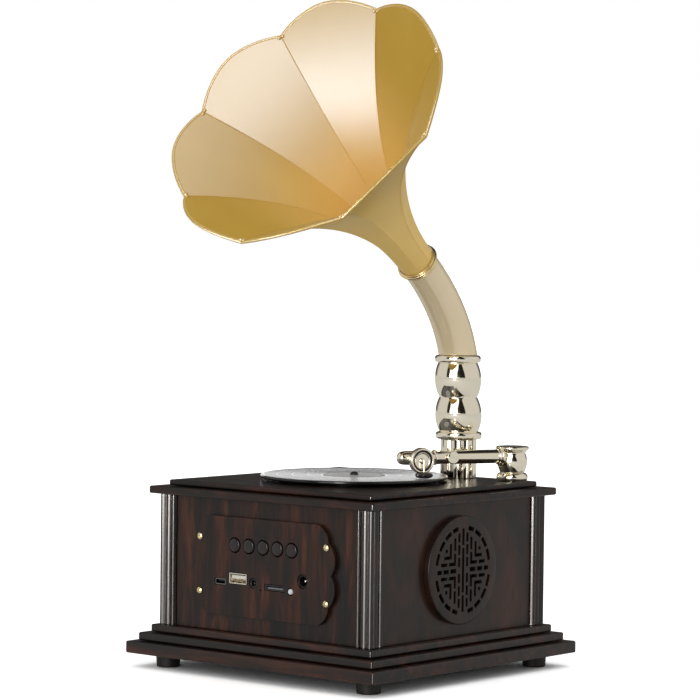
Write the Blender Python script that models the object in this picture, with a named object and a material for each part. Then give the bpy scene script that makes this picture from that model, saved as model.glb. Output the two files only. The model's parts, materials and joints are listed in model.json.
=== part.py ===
"""Table-top horn loudspeaker: a reeded wooden case with side drivers and a control plate,
a record and tonearm on its lid, and a petalled horn on a swivelling ferrule.

Everything is modelled about the middle of the case, with the controls facing -Y, and the
whole assembly is then set with the middle of its bounding box over the origin.
"""

import math

import bmesh
import bpy
from mathutils import Matrix, Vector

MM = 0.001
GAP = 0.3 * MM

# Case
FOOT_HEIGHT = 8.0 * MM
FOOT_SPREAD = 75.5 * MM
PLINTH = (  # name, half width, thickness
    ("plinth_lower", 93.1 * MM, 7.0 * MM),
    ("plinth_middle", 87.9 * MM, 4.7 * MM),
    ("plinth_upper", 82.8 * MM, 4.4 * MM),
)
LID = (
    ("lid_lower", 84.1 * MM, 4.4 * MM),
    ("lid_upper", 75.9 * MM, 3.3 * MM),
)
BODY_HEIGHT = 75.2 * MM
BOARD_ROUNDING = 1.0 * MM
POST_INNER = 68.0 * MM
POST_OUTER = 79.5 * MM
PANEL_OUTER = 77.0 * MM
PANEL_THICKNESS = 6.0 * MM
MID_HEIGHT = 62.4 * MM

# Control plate and what shows through it
PLATE_THICKNESS = 2.2 * MM
PLATE_HALF_HEIGHT = 28.0 * MM
PLATE_SQUARE_END = 41.0 * MM
PLATE_CORNER_MID = (46.3 * MM, 24.3 * MM)
PLATE_CUSP = (48.8 * MM, 17.9 * MM)
PLATE_LOBE_MID = (53.5 * MM, 8.6 * MM)
PLATE_NOTCH = 50.8 * MM
SCREW_X = 47.4 * MM
SCREW_SPREAD = 15.6 * MM
SCREW_HEAD_RADIUS = 1.95 * MM
SCREW_SHANK_RADIUS = 1.1 * MM
BUTTON_COUNT = 5
BUTTON_PITCH = 10.7 * MM
BUTTON_ROW_X = 0.6 * MM
BUTTON_ROW_Z = 74.6 * MM
BUTTON_RADIUS = 4.2 * MM
BUTTON_PROUD = 0.9 * MM
BUTTON_TRAVEL = 1.2 * MM
USB_AT = (-17.9 * MM, 55.8 * MM)
USB_SIZE = (13.1 * MM, 5.9 * MM)
MICRO_AT = (-31.8 * MM, 53.2 * MM)
MICRO_SIZE = (8.1 * MM, 3.6 * MM)
AUX_AT = (-6.7 * MM, 54.1 * MM)
AUX_RADIUS = 2.65 * MM
RESET_AT = (-1.1 * MM, 50.5 * MM)
RESET_RADIUS = 0.5 * MM
CARD_AT = (9.4 * MM, 52.6 * MM)
CARD_SIZE = (14.7 * MM, 3.1 * MM)
LIGHT_AT = (21.3 * MM, 51.5 * MM)
LIGHT_RADIUS = 1.9 * MM
POWER_AT = (30.2 * MM, 58.0 * MM)
POWER_RADIUS = 3.7 * MM
BOARD_FRONT = -68.1 * MM
BOARD_THICKNESS = 1.6 * MM

# Side drivers and fret grilles
GRILLE_RADIUS = 31.0 * MM
GRILLE_THICKNESS = 3.7 * MM
FRET_RADIUS = 24.3 * MM
SOUND_HOLE_RADIUS = 18.0 * MM
DRIVER_RADIUS = 24.0 * MM
DRIVER_DEPTH = 22.0 * MM

# Record
RECORD_RADIUS = 54.5 * MM
RECORD_BOTTOM = 109.7 * MM
RECORD_TOP = 111.7 * MM
PLATTER_RADIUS = 43.0 * MM
SPINDLE_RADIUS = 2.4 * MM

# Tonearm
ARM_AXIS = (64.5 * MM, 66.5 * MM)
ARM_HEADING = math.radians(-116.8)
ARM_HEIGHT = 123.0 * MM
ARM_RADIUS = 4.0 * MM
ARM_SEAT = 6.7 * MM
ARM_FLANGE_RADIUS = 5.9 * MM
PIN_RADIUS = 1.5 * MM
ARM_PIN_REACH = 40.3 * MM
ARM_END_REACH = 73.4 * MM
SOUNDBOX_REACH = 61.0 * MM
SOUNDBOX_RADIUS = 7.5 * MM
SOUNDBOX_DROP = 1.3 * MM

# Horn, in the upright plane through the column
COLUMN_AXIS = (28.5 * MM, 61.5 * MM)
HORN_HEADING = math.radians(-86.0)
COLUMN_RADIUS = 10.65 * MM
COLUMN_TOP = 131.3 * MM
COLUMN_FLUTES = 16
SPIGOT_RADIUS = 8.0 * MM
SPIGOT_TOP = 139.0 * MM
FERRULE_TOP = 180.9 * MM
FERRULE_BORE = 9.2 * MM
FERRULE_LEAN = 2.0 * MM  # how far forward its top stands of its foot
ELBOW_BOTTOM_RADIUS = 11.3 * MM
NECK_RADIUS = 10.6 * MM
ELBOW_WALL = 1.2 * MM
ELBOW_PATH = (  # forward reach and height of the four control points of its centreline
    (2.0 * MM, 181.2 * MM),
    (8.1 * MM, 202.3 * MM),
    (24.0 * MM, 220.2 * MM),
    (44.9 * MM, 235.4 * MM),
)
BELL_ELEVATION = math.radians(36.0)
BELL_LENGTH = 128.5 * MM
BELL_SEAM_RADIUS = 82.0 * MM
BELL_FLARE = 2.2
BELL_WALL = 0.9 * MM
PETAL_COUNT = 8
PETAL_OVERHANG = 0.059
PETAL_ROUNDNESS = 1.8
SEAM_TWIST = math.radians(-7.0)
COLLAR_RADIUS = 12.5 * MM


# ---------------------------------------------------------------- materials and objects


def material(name, colour, roughness, metallic=0.0):
    found = bpy.data.materials.get(name)
    if found:
        return found
    made = bpy.data.materials.new(name)
    made.use_nodes = True
    shader = made.node_tree.nodes["Principled BSDF"]
    shader.inputs["Base Color"].default_value = (*colour, 1.0)
    shader.inputs["Roughness"].default_value = roughness
    shader.inputs["Metallic"].default_value = metallic
    made.diffuse_color = (*colour, 1.0)
    return made


FINISHES = {
    "dark_wood": ((0.050, 0.022, 0.014), 0.32, 0.0),
    "foot_rubber": ((0.020, 0.016, 0.014), 0.65, 0.0),
    "brass": ((0.78, 0.60, 0.30), 0.22, 1.0),
    "black_gloss": ((0.012, 0.012, 0.013), 0.12, 0.0),
    "black_plastic": ((0.015, 0.015, 0.016), 0.45, 0.0),
    "plated_steel": ((0.86, 0.80, 0.66), 0.16, 1.0),
    "light_dome": ((0.90, 0.92, 0.95), 0.25, 0.0),
    "board_green": ((0.030, 0.180, 0.080), 0.50, 0.0),
    "pale_gold": ((0.87, 0.80, 0.64), 0.07, 1.0),
    "satin_gold": ((0.80, 0.66, 0.36), 0.30, 1.0),
    "champagne": ((0.72, 0.64, 0.48), 0.28, 1.0),
}


def empty(name, location, rotation=(0.0, 0.0, 0.0), parent=None):
    made = bpy.data.objects.new(name, None)
    bpy.context.scene.collection.objects.link(made)
    made.location = location
    made.rotation_euler = rotation
    made.parent = parent
    return made


def add_object(name, bm, finish, parent, location=(0.0, 0.0, 0.0), smooth=True):
    """Turns a bmesh into a named object with its own copy of a finish."""
    bmesh.ops.recalc_face_normals(bm, faces=bm.faces)
    mesh = bpy.data.meshes.new(name)
    bm.to_mesh(mesh)
    bm.free()
    if smooth:
        mesh.shade_smooth()
        mesh.set_sharp_from_angle(angle=math.radians(35))
    made = bpy.data.objects.new(name, mesh)
    bpy.context.scene.collection.objects.link(made)
    made.location = location
    made.parent = parent
    mesh.materials.append(material(f"{name}_{finish}", *FINISHES[finish]))
    return made


def combine(target, other, operation):
    """Joins or cuts one object with another, which stays as a hidden wire guide."""
    other.hide_render = True
    other.display_type = "WIRE"
    modifier = target.modifiers.new(other.name, "BOOLEAN")
    modifier.operation = operation
    modifier.solver = "EXACT"
    modifier.object = other


def cut(target, cutter):
    combine(target, cutter, "DIFFERENCE")


def join(target, addition):
    combine(target, addition, "UNION")


# ---------------------------------------------------------------- shapes


def lathe(profile, segments, closed=False):
    """Turns a profile of (radius, height) points about Z; a closed profile makes a ring."""
    bm = bmesh.new()
    verts = [bm.verts.new((radius, 0.0, height)) for radius, height in profile]
    edges = [bm.edges.new(pair) for pair in zip(verts, verts[1:])]
    if closed:
        edges.append(bm.edges.new((verts[-1], verts[0])))
    bmesh.ops.spin(
        bm,
        geom=verts + edges,
        cent=(0.0, 0.0, 0.0),
        axis=(0.0, 0.0, 1.0),
        angle=math.tau,
        steps=segments,
        use_merge=True,
    )
    bmesh.ops.remove_doubles(bm, verts=bm.verts, dist=0.001 * MM)
    return bm


def rod(radius, bottom, top):
    return lathe([(0.0, bottom), (radius, bottom), (radius, top), (0.0, top)], 16)


def arc(centre, radius, start, end, steps):
    """Points along a circular arc, both ends included; angles in degrees."""
    angles = [math.radians(start + (end - start) * i / steps) for i in range(steps + 1)]
    return [(centre[0] + radius * math.cos(a), centre[1] + radius * math.sin(a)) for a in angles]


def arc_through(start, middle, end, steps):
    """Points along the circular arc from start to end by way of middle."""
    a, b, c = (Vector((*p, 0.0)) for p in (start, middle, end))
    d = 2 * (a.x * (b.y - c.y) + b.x * (c.y - a.y) + c.x * (a.y - b.y))
    sa, sb, sc = a.length_squared, b.length_squared, c.length_squared
    x = (sa * (b.y - c.y) + sb * (c.y - a.y) + sc * (a.y - b.y)) / d
    y = (sa * (c.x - b.x) + sb * (a.x - c.x) + sc * (b.x - a.x)) / d
    first = math.atan2(a.y - y, a.x - x)
    turn = (math.atan2(c.y - y, c.x - x) - first) % math.tau
    by_way = (math.atan2(b.y - y, b.x - x) - first) % math.tau
    if by_way > turn:
        turn -= math.tau
    radius = math.hypot(a.x - x, a.y - y)
    angles = [first + turn * i / steps for i in range(steps + 1)]
    return [(x + radius * math.cos(t), y + radius * math.sin(t)) for t in angles]


def circle(centre, radius, segments):
    return arc(centre, radius, 0.0, 360.0, segments)[:-1]


def rectangle(centre, size, rounding=0.0):
    """A rectangle, with quarter-round corners if a rounding is given."""
    across, up = size[0] / 2 - rounding, size[1] / 2 - rounding
    corners = ((across, up, 0.0), (-across, up, 90.0), (-across, -up, 180.0), (across, -up, 270.0))
    steps = 3 if rounding else 0
    points = []
    for x, y, start in corners:
        middle = (centre[0] + x, centre[1] + y)
        points += arc(middle, rounding, start, start + 90.0, steps) if steps else [middle]
    return points


def plate(outline, holes, thickness):
    """A flat plate in XY with holes, from z = 0 up to its thickness."""
    bm = bmesh.new()
    for points in [outline, *holes]:
        verts = [bm.verts.new((x, y, 0.0)) for x, y in points]
        for pair in zip(verts, verts[1:] + verts[:1]):
            bm.edges.new(pair)
    bmesh.ops.triangle_fill(bm, use_beauty=True, use_dissolve=False, edges=bm.edges[:])
    grown = bmesh.ops.extrude_face_region(bm, geom=bm.faces[:])
    raised = [v for v in grown["geom"] if isinstance(v, bmesh.types.BMVert)]
    bmesh.ops.translate(bm, vec=(0.0, 0.0, thickness), verts=raised)
    return bm


def block(size, rounding=0.0, segments=2):
    """A box centred on the origin, its edges rounded if asked."""
    bm = bmesh.new()
    bmesh.ops.create_cube(bm, size=1.0)
    bmesh.ops.scale(bm, vec=size, verts=bm.verts)
    if rounding:
        bmesh.ops.bevel(bm, geom=bm.edges[:], offset=rounding, segments=segments, profile=0.5, affect="EDGES")
    return bm


def turn_to(bm, axis):
    """Turns a shape made along +Z so that it runs along the given axis."""
    turn = Vector((0.0, 0.0, 1.0)).rotation_difference(Vector(axis)).to_matrix()
    bmesh.ops.rotate(bm, cent=(0.0, 0.0, 0.0), matrix=turn, verts=bm.verts)
    return bm


def face_front(bm):
    """Stands an XY shape up so that its +Y is up and its +Z faces the front, -Y."""
    bmesh.ops.rotate(bm, cent=(0.0, 0.0, 0.0), matrix=Matrix.Rotation(math.pi / 2, 3, "X"), verts=bm.verts)
    return bm


def face_side(bm, side):
    """Stands an XY shape up so that its +Z faces +X for side 1, or -X for side -1."""
    face_front(bm)
    turn = Matrix.Rotation(side * math.pi / 2, 3, "Z")
    bmesh.ops.rotate(bm, cent=(0.0, 0.0, 0.0), matrix=turn, verts=bm.verts)
    return bm


# ---------------------------------------------------------------- case


def stack(base, tiers):
    """Bottom and top heights of boards laid on each other, by name."""
    heights = {}
    for name, _, thickness in tiers:
        heights[name] = (base, base + thickness)
        base += thickness + GAP
    return heights


def board(name, half, bottom, top, root):
    bm = block((2 * half, 2 * half, top - bottom), BOARD_ROUNDING)
    return add_object(name, bm, "dark_wood", root, (0.0, 0.0, (bottom + top) / 2))


def make_feet(root):
    profile = [
        (0.0, 0.0),
        (6.0 * MM, 0.0),
        (6.6 * MM, 0.6 * MM),
        (7.0 * MM, FOOT_HEIGHT - GAP),
        (0.0, FOOT_HEIGHT - GAP),
    ]
    for number, (x, y) in enumerate(((1, -1), (1, 1), (-1, 1), (-1, -1)), start=1):
        spot = (x * FOOT_SPREAD, y * FOOT_SPREAD, 0.0)
        add_object(f"foot_{number}", lathe(profile, 16), "foot_rubber", root, spot)


def reed(start, width, floor, crown, steps):
    """A rounded rib standing on a floor, as (along, out) points."""
    points = []
    for i in range(steps + 1):
        share = i / steps
        points.append((start + width * share, floor + (crown - floor) * math.sin(math.pi * share)))
    return points


def post_outline():
    """Cross-section of a corner post for the corner at +X +Y, reeded on both outer faces."""
    floor = POST_OUTER - 1.7 * MM
    face = [(POST_INNER, floor)]
    face += reed(POST_INNER + 0.4 * MM, 2.4 * MM, floor, POST_OUTER - 0.3 * MM, 3)
    face += reed(POST_INNER + 3.4 * MM, 4.6 * MM, floor, POST_OUTER, 4)
    bead = arc((POST_OUTER - 1.6 * MM, POST_OUTER - 1.6 * MM), 1.6 * MM, 120.0, -30.0, 5)
    other = [(y, x) for x, y in reversed(face)]
    return [(POST_INNER, POST_INNER), *face, *bead, *other]


def make_posts(bottom, root):
    for number in range(4):
        bm = plate(post_outline(), [], BODY_HEIGHT)
        turn = Matrix.Rotation(-math.pi / 2 * (number + 1), 3, "Z")
        bmesh.ops.rotate(bm, cent=(0.0, 0.0, 0.0), matrix=turn, verts=bm.verts)
        add_object(f"corner_post_{number + 1}", bm, "dark_wood", root, (0.0, 0.0, bottom))


def make_panels(bottom, root):
    """Front panel with its two routed windows, side panels with a sound hole, plain rear panel."""
    half = POST_INNER - GAP
    middle = bottom + BODY_HEIGHT / 2
    outline = rectangle((0.0, middle), (2 * half, BODY_HEIGHT))
    buttons = rectangle((BUTTON_ROW_X, BUTTON_ROW_Z), (5.1 * BUTTON_PITCH, 10.4 * MM), 2.0 * MM)
    sockets = rectangle((-0.9 * MM, 55.6 * MM), (72.2 * MM, 14.2 * MM), 2.0 * MM)
    front = face_front(plate(outline, [buttons, sockets], PANEL_THICKNESS))
    add_object("front_panel", front, "dark_wood", root, (0.0, -PANEL_OUTER + PANEL_THICKNESS, 0.0), False)
    rear = face_front(plate(outline, [], PANEL_THICKNESS))
    add_object("rear_panel", rear, "dark_wood", root, (0.0, PANEL_OUTER, 0.0), False)
    hole = circle((0.0, MID_HEIGHT), SOUND_HOLE_RADIUS, 32)
    for name, side in (("right_panel", 1), ("left_panel", -1)):
        bm = face_side(plate(outline, [hole], PANEL_THICKNESS), side)
        inner_face = side * (PANEL_OUTER - PANEL_THICKNESS)
        add_object(name, bm, "dark_wood", root, (inner_face, 0.0, 0.0), False)


def make_case(root):
    """The case up to its lid; returns the height of the lid's upper face."""
    plinth = stack(FOOT_HEIGHT, PLINTH)
    for name, half, _ in PLINTH:
        board(name, half, *plinth[name], root)
    body_bottom = plinth[PLINTH[-1][0]][1] + GAP
    make_feet(root)
    make_posts(body_bottom, root)
    make_panels(body_bottom, root)
    lid = stack(body_bottom + BODY_HEIGHT + GAP, LID)
    drills = [
        ("column_hole", COLUMN_AXIS, SPIGOT_RADIUS - 1.0 * MM + GAP),
        ("arm_hole", ARM_AXIS, SPINDLE_RADIUS + GAP),
        ("spindle_hole", (0.0, 0.0), SPINDLE_RADIUS + GAP),
    ]
    boards = [board(name, half, *lid[name], root) for name, half, _ in LID]
    lid_bottom, lid_top = lid["lid_lower"][0], lid["lid_upper"][1]
    for name, spot, radius in drills:
        through = rod(radius, lid_bottom - 3.0 * MM, lid_top + 3.0 * MM)
        drill = add_object(name, through, "dark_wood", root, (*spot, 0.0), False)
        for target in boards:
            cut(target, drill)
    return lid_top


# ---------------------------------------------------------------- controls


def plate_outline():
    """Half of the scalloped end is drawn, then mirrored up and down and left and right."""
    corner = arc_through((PLATE_SQUARE_END, PLATE_HALF_HEIGHT), PLATE_CORNER_MID, PLATE_CUSP, 4)
    lobe = arc_through(PLATE_CUSP, PLATE_LOBE_MID, (PLATE_NOTCH, 0.0), 6)
    quarter = corner + lobe[1:]
    right = quarter + [(x, -y) for x, y in reversed(quarter[:-1])]
    left = [(-x, y) for x, y in reversed(right)]
    return [(x, y + MID_HEIGHT) for x, y in right + left]


def button_spots():
    first = BUTTON_ROW_X - BUTTON_PITCH * (BUTTON_COUNT - 1) / 2
    return [(first + BUTTON_PITCH * i, BUTTON_ROW_Z) for i in range(BUTTON_COUNT)]


def screw_spots():
    return [(x * SCREW_X, MID_HEIGHT + z * SCREW_SPREAD) for x, z in ((-1, 1), (1, 1), (1, -1), (-1, -1))]


def widened(size):
    return (size[0] + 2 * GAP, size[1] + 2 * GAP)


def make_control_plate(root):
    holes = [circle(spot, BUTTON_RADIUS + GAP, 16) for spot in button_spots()]
    holes += [circle(spot, SCREW_SHANK_RADIUS + GAP, 8) for spot in screw_spots()]
    holes.append(rectangle(USB_AT, widened(USB_SIZE), 0.6 * MM))
    holes.append(rectangle(MICRO_AT, widened(MICRO_SIZE), 1.0 * MM))
    holes.append(rectangle(CARD_AT, widened(CARD_SIZE), 0.5 * MM))
    holes.append(circle(AUX_AT, AUX_RADIUS + GAP, 14))
    holes.append(circle(RESET_AT, RESET_RADIUS, 6))
    holes.append(circle(LIGHT_AT, LIGHT_RADIUS + GAP, 12))
    holes.append(circle(POWER_AT, POWER_RADIUS + GAP, 18))
    bm = face_front(plate(plate_outline(), holes, PLATE_THICKNESS))
    add_object("control_plate", bm, "dark_wood", root, (0.0, -PANEL_OUTER - GAP, 0.0), False)


def plate_front():
    return -PANEL_OUTER - GAP - PLATE_THICKNESS


def make_screws(root):
    """Domed screws whose short shanks end in the plate's thickness."""
    profile = [
        (0.0, -1.6 * MM),
        (SCREW_SHANK_RADIUS, -1.6 * MM),
        (SCREW_SHANK_RADIUS, GAP),
        (SCREW_HEAD_RADIUS, GAP),
        (SCREW_HEAD_RADIUS * 0.85, 0.9 * MM),
        (SCREW_HEAD_RADIUS * 0.4, 1.2 * MM),
        (0.0, 1.25 * MM),
    ]
    for number, (x, z) in enumerate(screw_spots(), start=1):
        bm = turn_to(lathe(profile, 10), (0.0, -1.0, 0.0))
        add_object(f"plate_screw_{number}", bm, "brass", root, (x, plate_front(), z))


def make_buttons(root):
    """Domed caps with a flange behind the plate and a stem that reaches the board's switch."""
    stem_end = BOARD_FRONT - plate_front() - BUTTON_TRAVEL - GAP
    profile = [
        (0.0, -stem_end),
        (2.0 * MM, -stem_end),
        (2.0 * MM, -3.4 * MM),
        (4.9 * MM, -3.4 * MM),
        (4.9 * MM, -2.6 * MM),
        (BUTTON_RADIUS, -2.6 * MM),
        (BUTTON_RADIUS, BUTTON_PROUD * 0.3),
        (BUTTON_RADIUS * 0.7, BUTTON_PROUD * 0.85),
        (0.0, BUTTON_PROUD),
    ]
    for number, (x, z) in enumerate(button_spots(), start=1):
        bm = turn_to(lathe(profile, 14), (0.0, -1.0, 0.0))
        add_object(f"button_{number}", bm, "black_gloss", root, (x, plate_front(), z))


def socket_depth(proud):
    """Distance from a socket's front to the circuit board, with its gap."""
    return BOARD_FRONT - GAP - (plate_front() - proud)


def make_slotted_socket(name, spot, size, wall, rounding, proud, finish, root):
    """A rectangular socket shell with a blind mouth three quarters as deep as the shell."""
    depth = socket_depth(proud)
    front = plate_front() - proud
    body = face_front(plate(rectangle((0.0, 0.0), size, rounding), [], depth))
    shell = add_object(name, body, finish, root, (spot[0], front + depth, spot[1]), False)
    reach = 0.75 * depth
    mouth = (size[0] - 2 * wall[0], size[1] - 2 * wall[1])
    bore = face_front(plate(rectangle((0.0, 0.0), mouth), [], 2 * reach))
    cutter = add_object(f"{name}_mouth", bore, finish, root, (spot[0], front + reach, spot[1]), False)
    cut(shell, cutter)
    return shell


def add_tongue(shell, spot):
    """The contact tongue of the USB socket, grown from the back of its mouth."""
    length = 0.75 * socket_depth(0.3 * MM)
    bm = block((10.2 * MM, length, 1.8 * MM))
    middle = plate_front() + 1.0 * MM + length / 2
    tongue = add_object("usb_tongue", bm, "plated_steel", shell.parent, (spot[0], middle, spot[1] + 0.6 * MM), False)
    join(shell, tongue)


def make_round_socket(name, spot, radius, bore, pin, recess, root):
    """A round socket with a blind bore, and a centre pin if it has one."""
    depth = socket_depth(-recess)
    floor = -0.8 * depth
    profile = [(0.0, -depth), (radius, -depth), (radius, 0.0), (bore, 0.0), (bore, floor)]
    if pin:
        profile += [(pin, floor), (pin, -1.5 * MM), (0.0, -1.5 * MM)]
    else:
        profile.append((0.0, floor))
    bm = turn_to(lathe(profile, 16), (0.0, -1.0, 0.0))
    add_object(name, bm, "black_plastic", root, (spot[0], plate_front() + recess, spot[1]))


def make_status_light(root):
    depth = socket_depth(0.0)
    profile = [(0.0, -depth), (LIGHT_RADIUS, -depth), (LIGHT_RADIUS, 0.0)]
    profile += [(LIGHT_RADIUS * 0.75, 0.6 * MM), (0.0, 0.9 * MM)]
    bm = turn_to(lathe(profile, 12), (0.0, -1.0, 0.0))
    add_object("status_light", bm, "light_dome", root, (LIGHT_AT[0], plate_front(), LIGHT_AT[1]))


def make_controls(root):
    make_control_plate(root)
    make_screws(root)
    make_buttons(root)
    thin = (0.4 * MM, 0.4 * MM)
    usb = make_slotted_socket("usb_socket", USB_AT, USB_SIZE, thin, 0.3 * MM, 0.3 * MM, "plated_steel", root)
    add_tongue(usb, USB_AT)
    thin = (0.6 * MM, 0.7 * MM)
    make_slotted_socket("micro_usb_socket", MICRO_AT, MICRO_SIZE, thin, 0.9 * MM, -0.5 * MM, "plated_steel", root)
    thick = (1.3 * MM, 0.9 * MM)
    make_slotted_socket("card_socket", CARD_AT, CARD_SIZE, thick, 0.3 * MM, -0.4 * MM, "black_plastic", root)
    make_round_socket("aux_socket", AUX_AT, AUX_RADIUS, 1.75 * MM, 0.0, 0.3 * MM, root)
    make_round_socket("power_socket", POWER_AT, POWER_RADIUS, 2.9 * MM, 0.9 * MM, 0.5 * MM, root)
    make_status_light(root)
    bm = block((84.0 * MM, BOARD_THICKNESS, 42.0 * MM))
    spot = (0.0, BOARD_FRONT + BOARD_THICKNESS / 2, 64.0 * MM)
    add_object("circuit_board", bm, "board_green", root, spot, False)


# ---------------------------------------------------------------- side drivers and grilles


def corner_slot(x, y, across, up, width):
    """An L-shaped slot with its corner at (x, y)."""
    return [
        (x, y),
        (x + across, y),
        (x + across, y + width),
        (x + width, y + width),
        (x + width, y + up),
        (x, y + up),
    ]


def straight_slot(x0, x1, y0, y1):
    return [(x0, y0), (x1, y0), (x1, y1), (x0, y1)]


def rim_slot(start, end):
    """A slot that follows the edge of the fret, between two angles in degrees."""
    inner = FRET_RADIUS - 2.4 * MM
    return arc((0.0, 0.0), FRET_RADIUS, start, end, 2) + arc((0.0, 0.0), inner, end, start, 2)


def fret_quarter():
    """Slots in the quarter of the fret to the upper right."""
    slots = [
        straight_slot(2.7 * MM, 4.6 * MM, low * MM, high * MM)
        for low, high in ((1.9, 7.2), (8.8, 14.4), (16.0, 21.0))
    ]
    slots.append(corner_slot(6.4 * MM, 3.0 * MM, 6.4 * MM, 6.8 * MM, 1.9 * MM))
    slots.append(straight_slot(6.4 * MM, 8.3 * MM, 11.4 * MM, 18.4 * MM))
    slots.append(corner_slot(10.3 * MM, 6.8 * MM, 6.9 * MM, 8.8 * MM, 1.9 * MM))
    slots.append(straight_slot(14.0 * MM, 16.0 * MM, 10.6 * MM, 12.6 * MM))
    slots.append(straight_slot(14.4 * MM, 20.0 * MM, 3.0 * MM, 4.9 * MM))
    slots += [rim_slot(start, end) for start, end in ((10, 26), (30, 45), (49, 63), (67, 79))]
    return slots


def fret_slots():
    slots = []
    for x, y in ((1, 1), (-1, 1), (-1, -1), (1, -1)):
        slots += [[(x * px, y * py) for px, py in points] for points in fret_quarter()]
    for low, high in ((-23.6, -14.2), (-12.6, 12.6), (14.2, 23.6)):
        slots.append(straight_slot(-1.0 * MM, 1.0 * MM, low * MM, high * MM))
    for side in (1, -1):
        for near, far in ((6.2, 11.4), (13.0, 17.6), (19.2, 23.2)):
            ends = sorted((side * near * MM, side * far * MM))
            slots.append(straight_slot(*ends, -1.2 * MM, 1.2 * MM))
    return slots


def make_sides(root):
    """On each side a fret grille outside the panel and a driver inside it."""
    chassis = [
        (0.0, -DRIVER_DEPTH),
        (14.0 * MM, -DRIVER_DEPTH),
        (14.0 * MM, -13.0 * MM),
        (DRIVER_RADIUS - 5.0 * MM, -4.0 * MM),
        (DRIVER_RADIUS, -2.0 * MM),
        (DRIVER_RADIUS, 0.0),
        (17.0 * MM, 0.0),
        (7.0 * MM, -7.0 * MM),
        (0.0, -5.0 * MM),
    ]
    for word, side in (("right", 1), ("left", -1)):
        outer = side * (PANEL_OUTER + GAP)
        grille = face_side(plate(circle((0.0, 0.0), GRILLE_RADIUS, 40), fret_slots(), GRILLE_THICKNESS), side)
        add_object(f"fret_grille_{word}", grille, "dark_wood", root, (outer, 0.0, MID_HEIGHT), False)
        driver = turn_to(lathe(chassis, 20), (side, 0.0, 0.0))
        inner = side * (PANEL_OUTER - PANEL_THICKNESS - GAP)
        add_object(f"driver_{word}", driver, "black_plastic", root, (inner, 0.0, MID_HEIGHT))


# ---------------------------------------------------------------- record


def make_record(lid_top, root):
    """Platter with its spindle through the lid, and the record that lies on it."""
    axis = empty("record_axis", (0.0, 0.0, 0.0), parent=root)
    platter = [
        (0.0, lid_top - 6.0 * MM),
        (SPINDLE_RADIUS, lid_top - 6.0 * MM),
        (SPINDLE_RADIUS, lid_top + GAP),
        (PLATTER_RADIUS, lid_top + GAP),
        (PLATTER_RADIUS, RECORD_BOTTOM - GAP),
        (SPINDLE_RADIUS, RECORD_BOTTOM - GAP),
        (SPINDLE_RADIUS, RECORD_TOP + 1.0 * MM),
        (0.0, RECORD_TOP + 1.6 * MM),
    ]
    add_object("platter", lathe(platter, 32), "black_plastic", axis)
    bore = SPINDLE_RADIUS + GAP
    record = [
        (bore, RECORD_BOTTOM),
        (RECORD_RADIUS - 0.7 * MM, RECORD_BOTTOM),
        (RECORD_RADIUS, (RECORD_BOTTOM + RECORD_TOP) / 2),
        (RECORD_RADIUS - 0.7 * MM, RECORD_TOP),
        (bore, RECORD_TOP),
    ]
    add_object("record_disc", lathe(record, 48, closed=True), "black_gloss", axis)


# ---------------------------------------------------------------- tonearm


def make_tonearm_base(lid_top, root):
    profile = [
        (0.0, lid_top - 7.5 * MM),
        (SPINDLE_RADIUS, lid_top - 7.5 * MM),
        (SPINDLE_RADIUS, lid_top + GAP),
        (8.8 * MM, lid_top + GAP),
        (9.3 * MM, lid_top + 1.9 * MM),
        (8.6 * MM, lid_top + 3.6 * MM),
        (7.4 * MM, lid_top + 4.6 * MM),
        (SPINDLE_RADIUS, lid_top + 4.6 * MM),
        (SPINDLE_RADIUS, lid_top + 10.0 * MM),
        (0.0, lid_top + 10.0 * MM),
    ]
    add_object("tonearm_base", lathe(profile, 24), "pale_gold", root, (*ARM_AXIS, 0.0))


def make_tonearm_pivot(lid_top, swing):
    base = lid_top + 4.6 * MM + GAP
    profile = [
        (0.0, lid_top + 10.0 * MM + GAP),
        (SPINDLE_RADIUS + GAP, lid_top + 10.0 * MM + GAP),
        (SPINDLE_RADIUS + GAP, base),
        (7.3 * MM, base),
        (8.6 * MM, base + 3.6 * MM),
        (8.8 * MM, base + 6.6 * MM),
        (8.1 * MM, base + 10.2 * MM),
        (7.4 * MM, base + 11.6 * MM),
        (9.2 * MM, base + 13.6 * MM),
        (9.3 * MM, base + 14.9 * MM),
        (0.0, base + 14.9 * MM),
    ]
    pivot = add_object("tonearm_pivot", lathe(profile, 24), "pale_gold", swing)
    seat = turn_to(rod(ARM_FLANGE_RADIUS + GAP, ARM_SEAT, ARM_SEAT + 6.0 * MM), (1.0, 0.0, 0.0))
    cut(pivot, add_object("arm_seat", seat, "pale_gold", swing, (0.0, 0.0, ARM_HEIGHT), False))


def make_arm_tube(swing):
    """The tube with the flange that seats on the pivot, up to the cross pin."""
    seat = ARM_SEAT + GAP
    end = ARM_PIN_REACH - 3.0 * MM
    profile = [
        (0.0, seat),
        (ARM_FLANGE_RADIUS, seat),
        (ARM_FLANGE_RADIUS, seat + 1.4 * MM),
        (ARM_RADIUS, seat + 2.6 * MM),
        (ARM_RADIUS, end),
        (0.0, end),
    ]
    bm = turn_to(lathe(profile, 20), (1.0, 0.0, 0.0))
    tongue = block((9.0 * MM, 2.4 * MM, 5.6 * MM))
    bmesh.ops.translate(tongue, vec=(ARM_PIN_REACH - 0.3 * MM, 0.0, 0.0), verts=tongue.verts)
    tube = add_object("tonearm_tube", bm, "pale_gold", swing, (0.0, 0.0, ARM_HEIGHT))
    join(tube, add_object("tonearm_tongue", tongue, "pale_gold", swing, (0.0, 0.0, ARM_HEIGHT), False))
    drill = turn_to(rod(PIN_RADIUS + GAP, -6.0 * MM, 6.0 * MM), (0.0, 1.0, 0.0))
    cut(tube, add_object("pin_hole", drill, "pale_gold", swing, (ARM_PIN_REACH, 0.0, ARM_HEIGHT), False))


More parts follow.
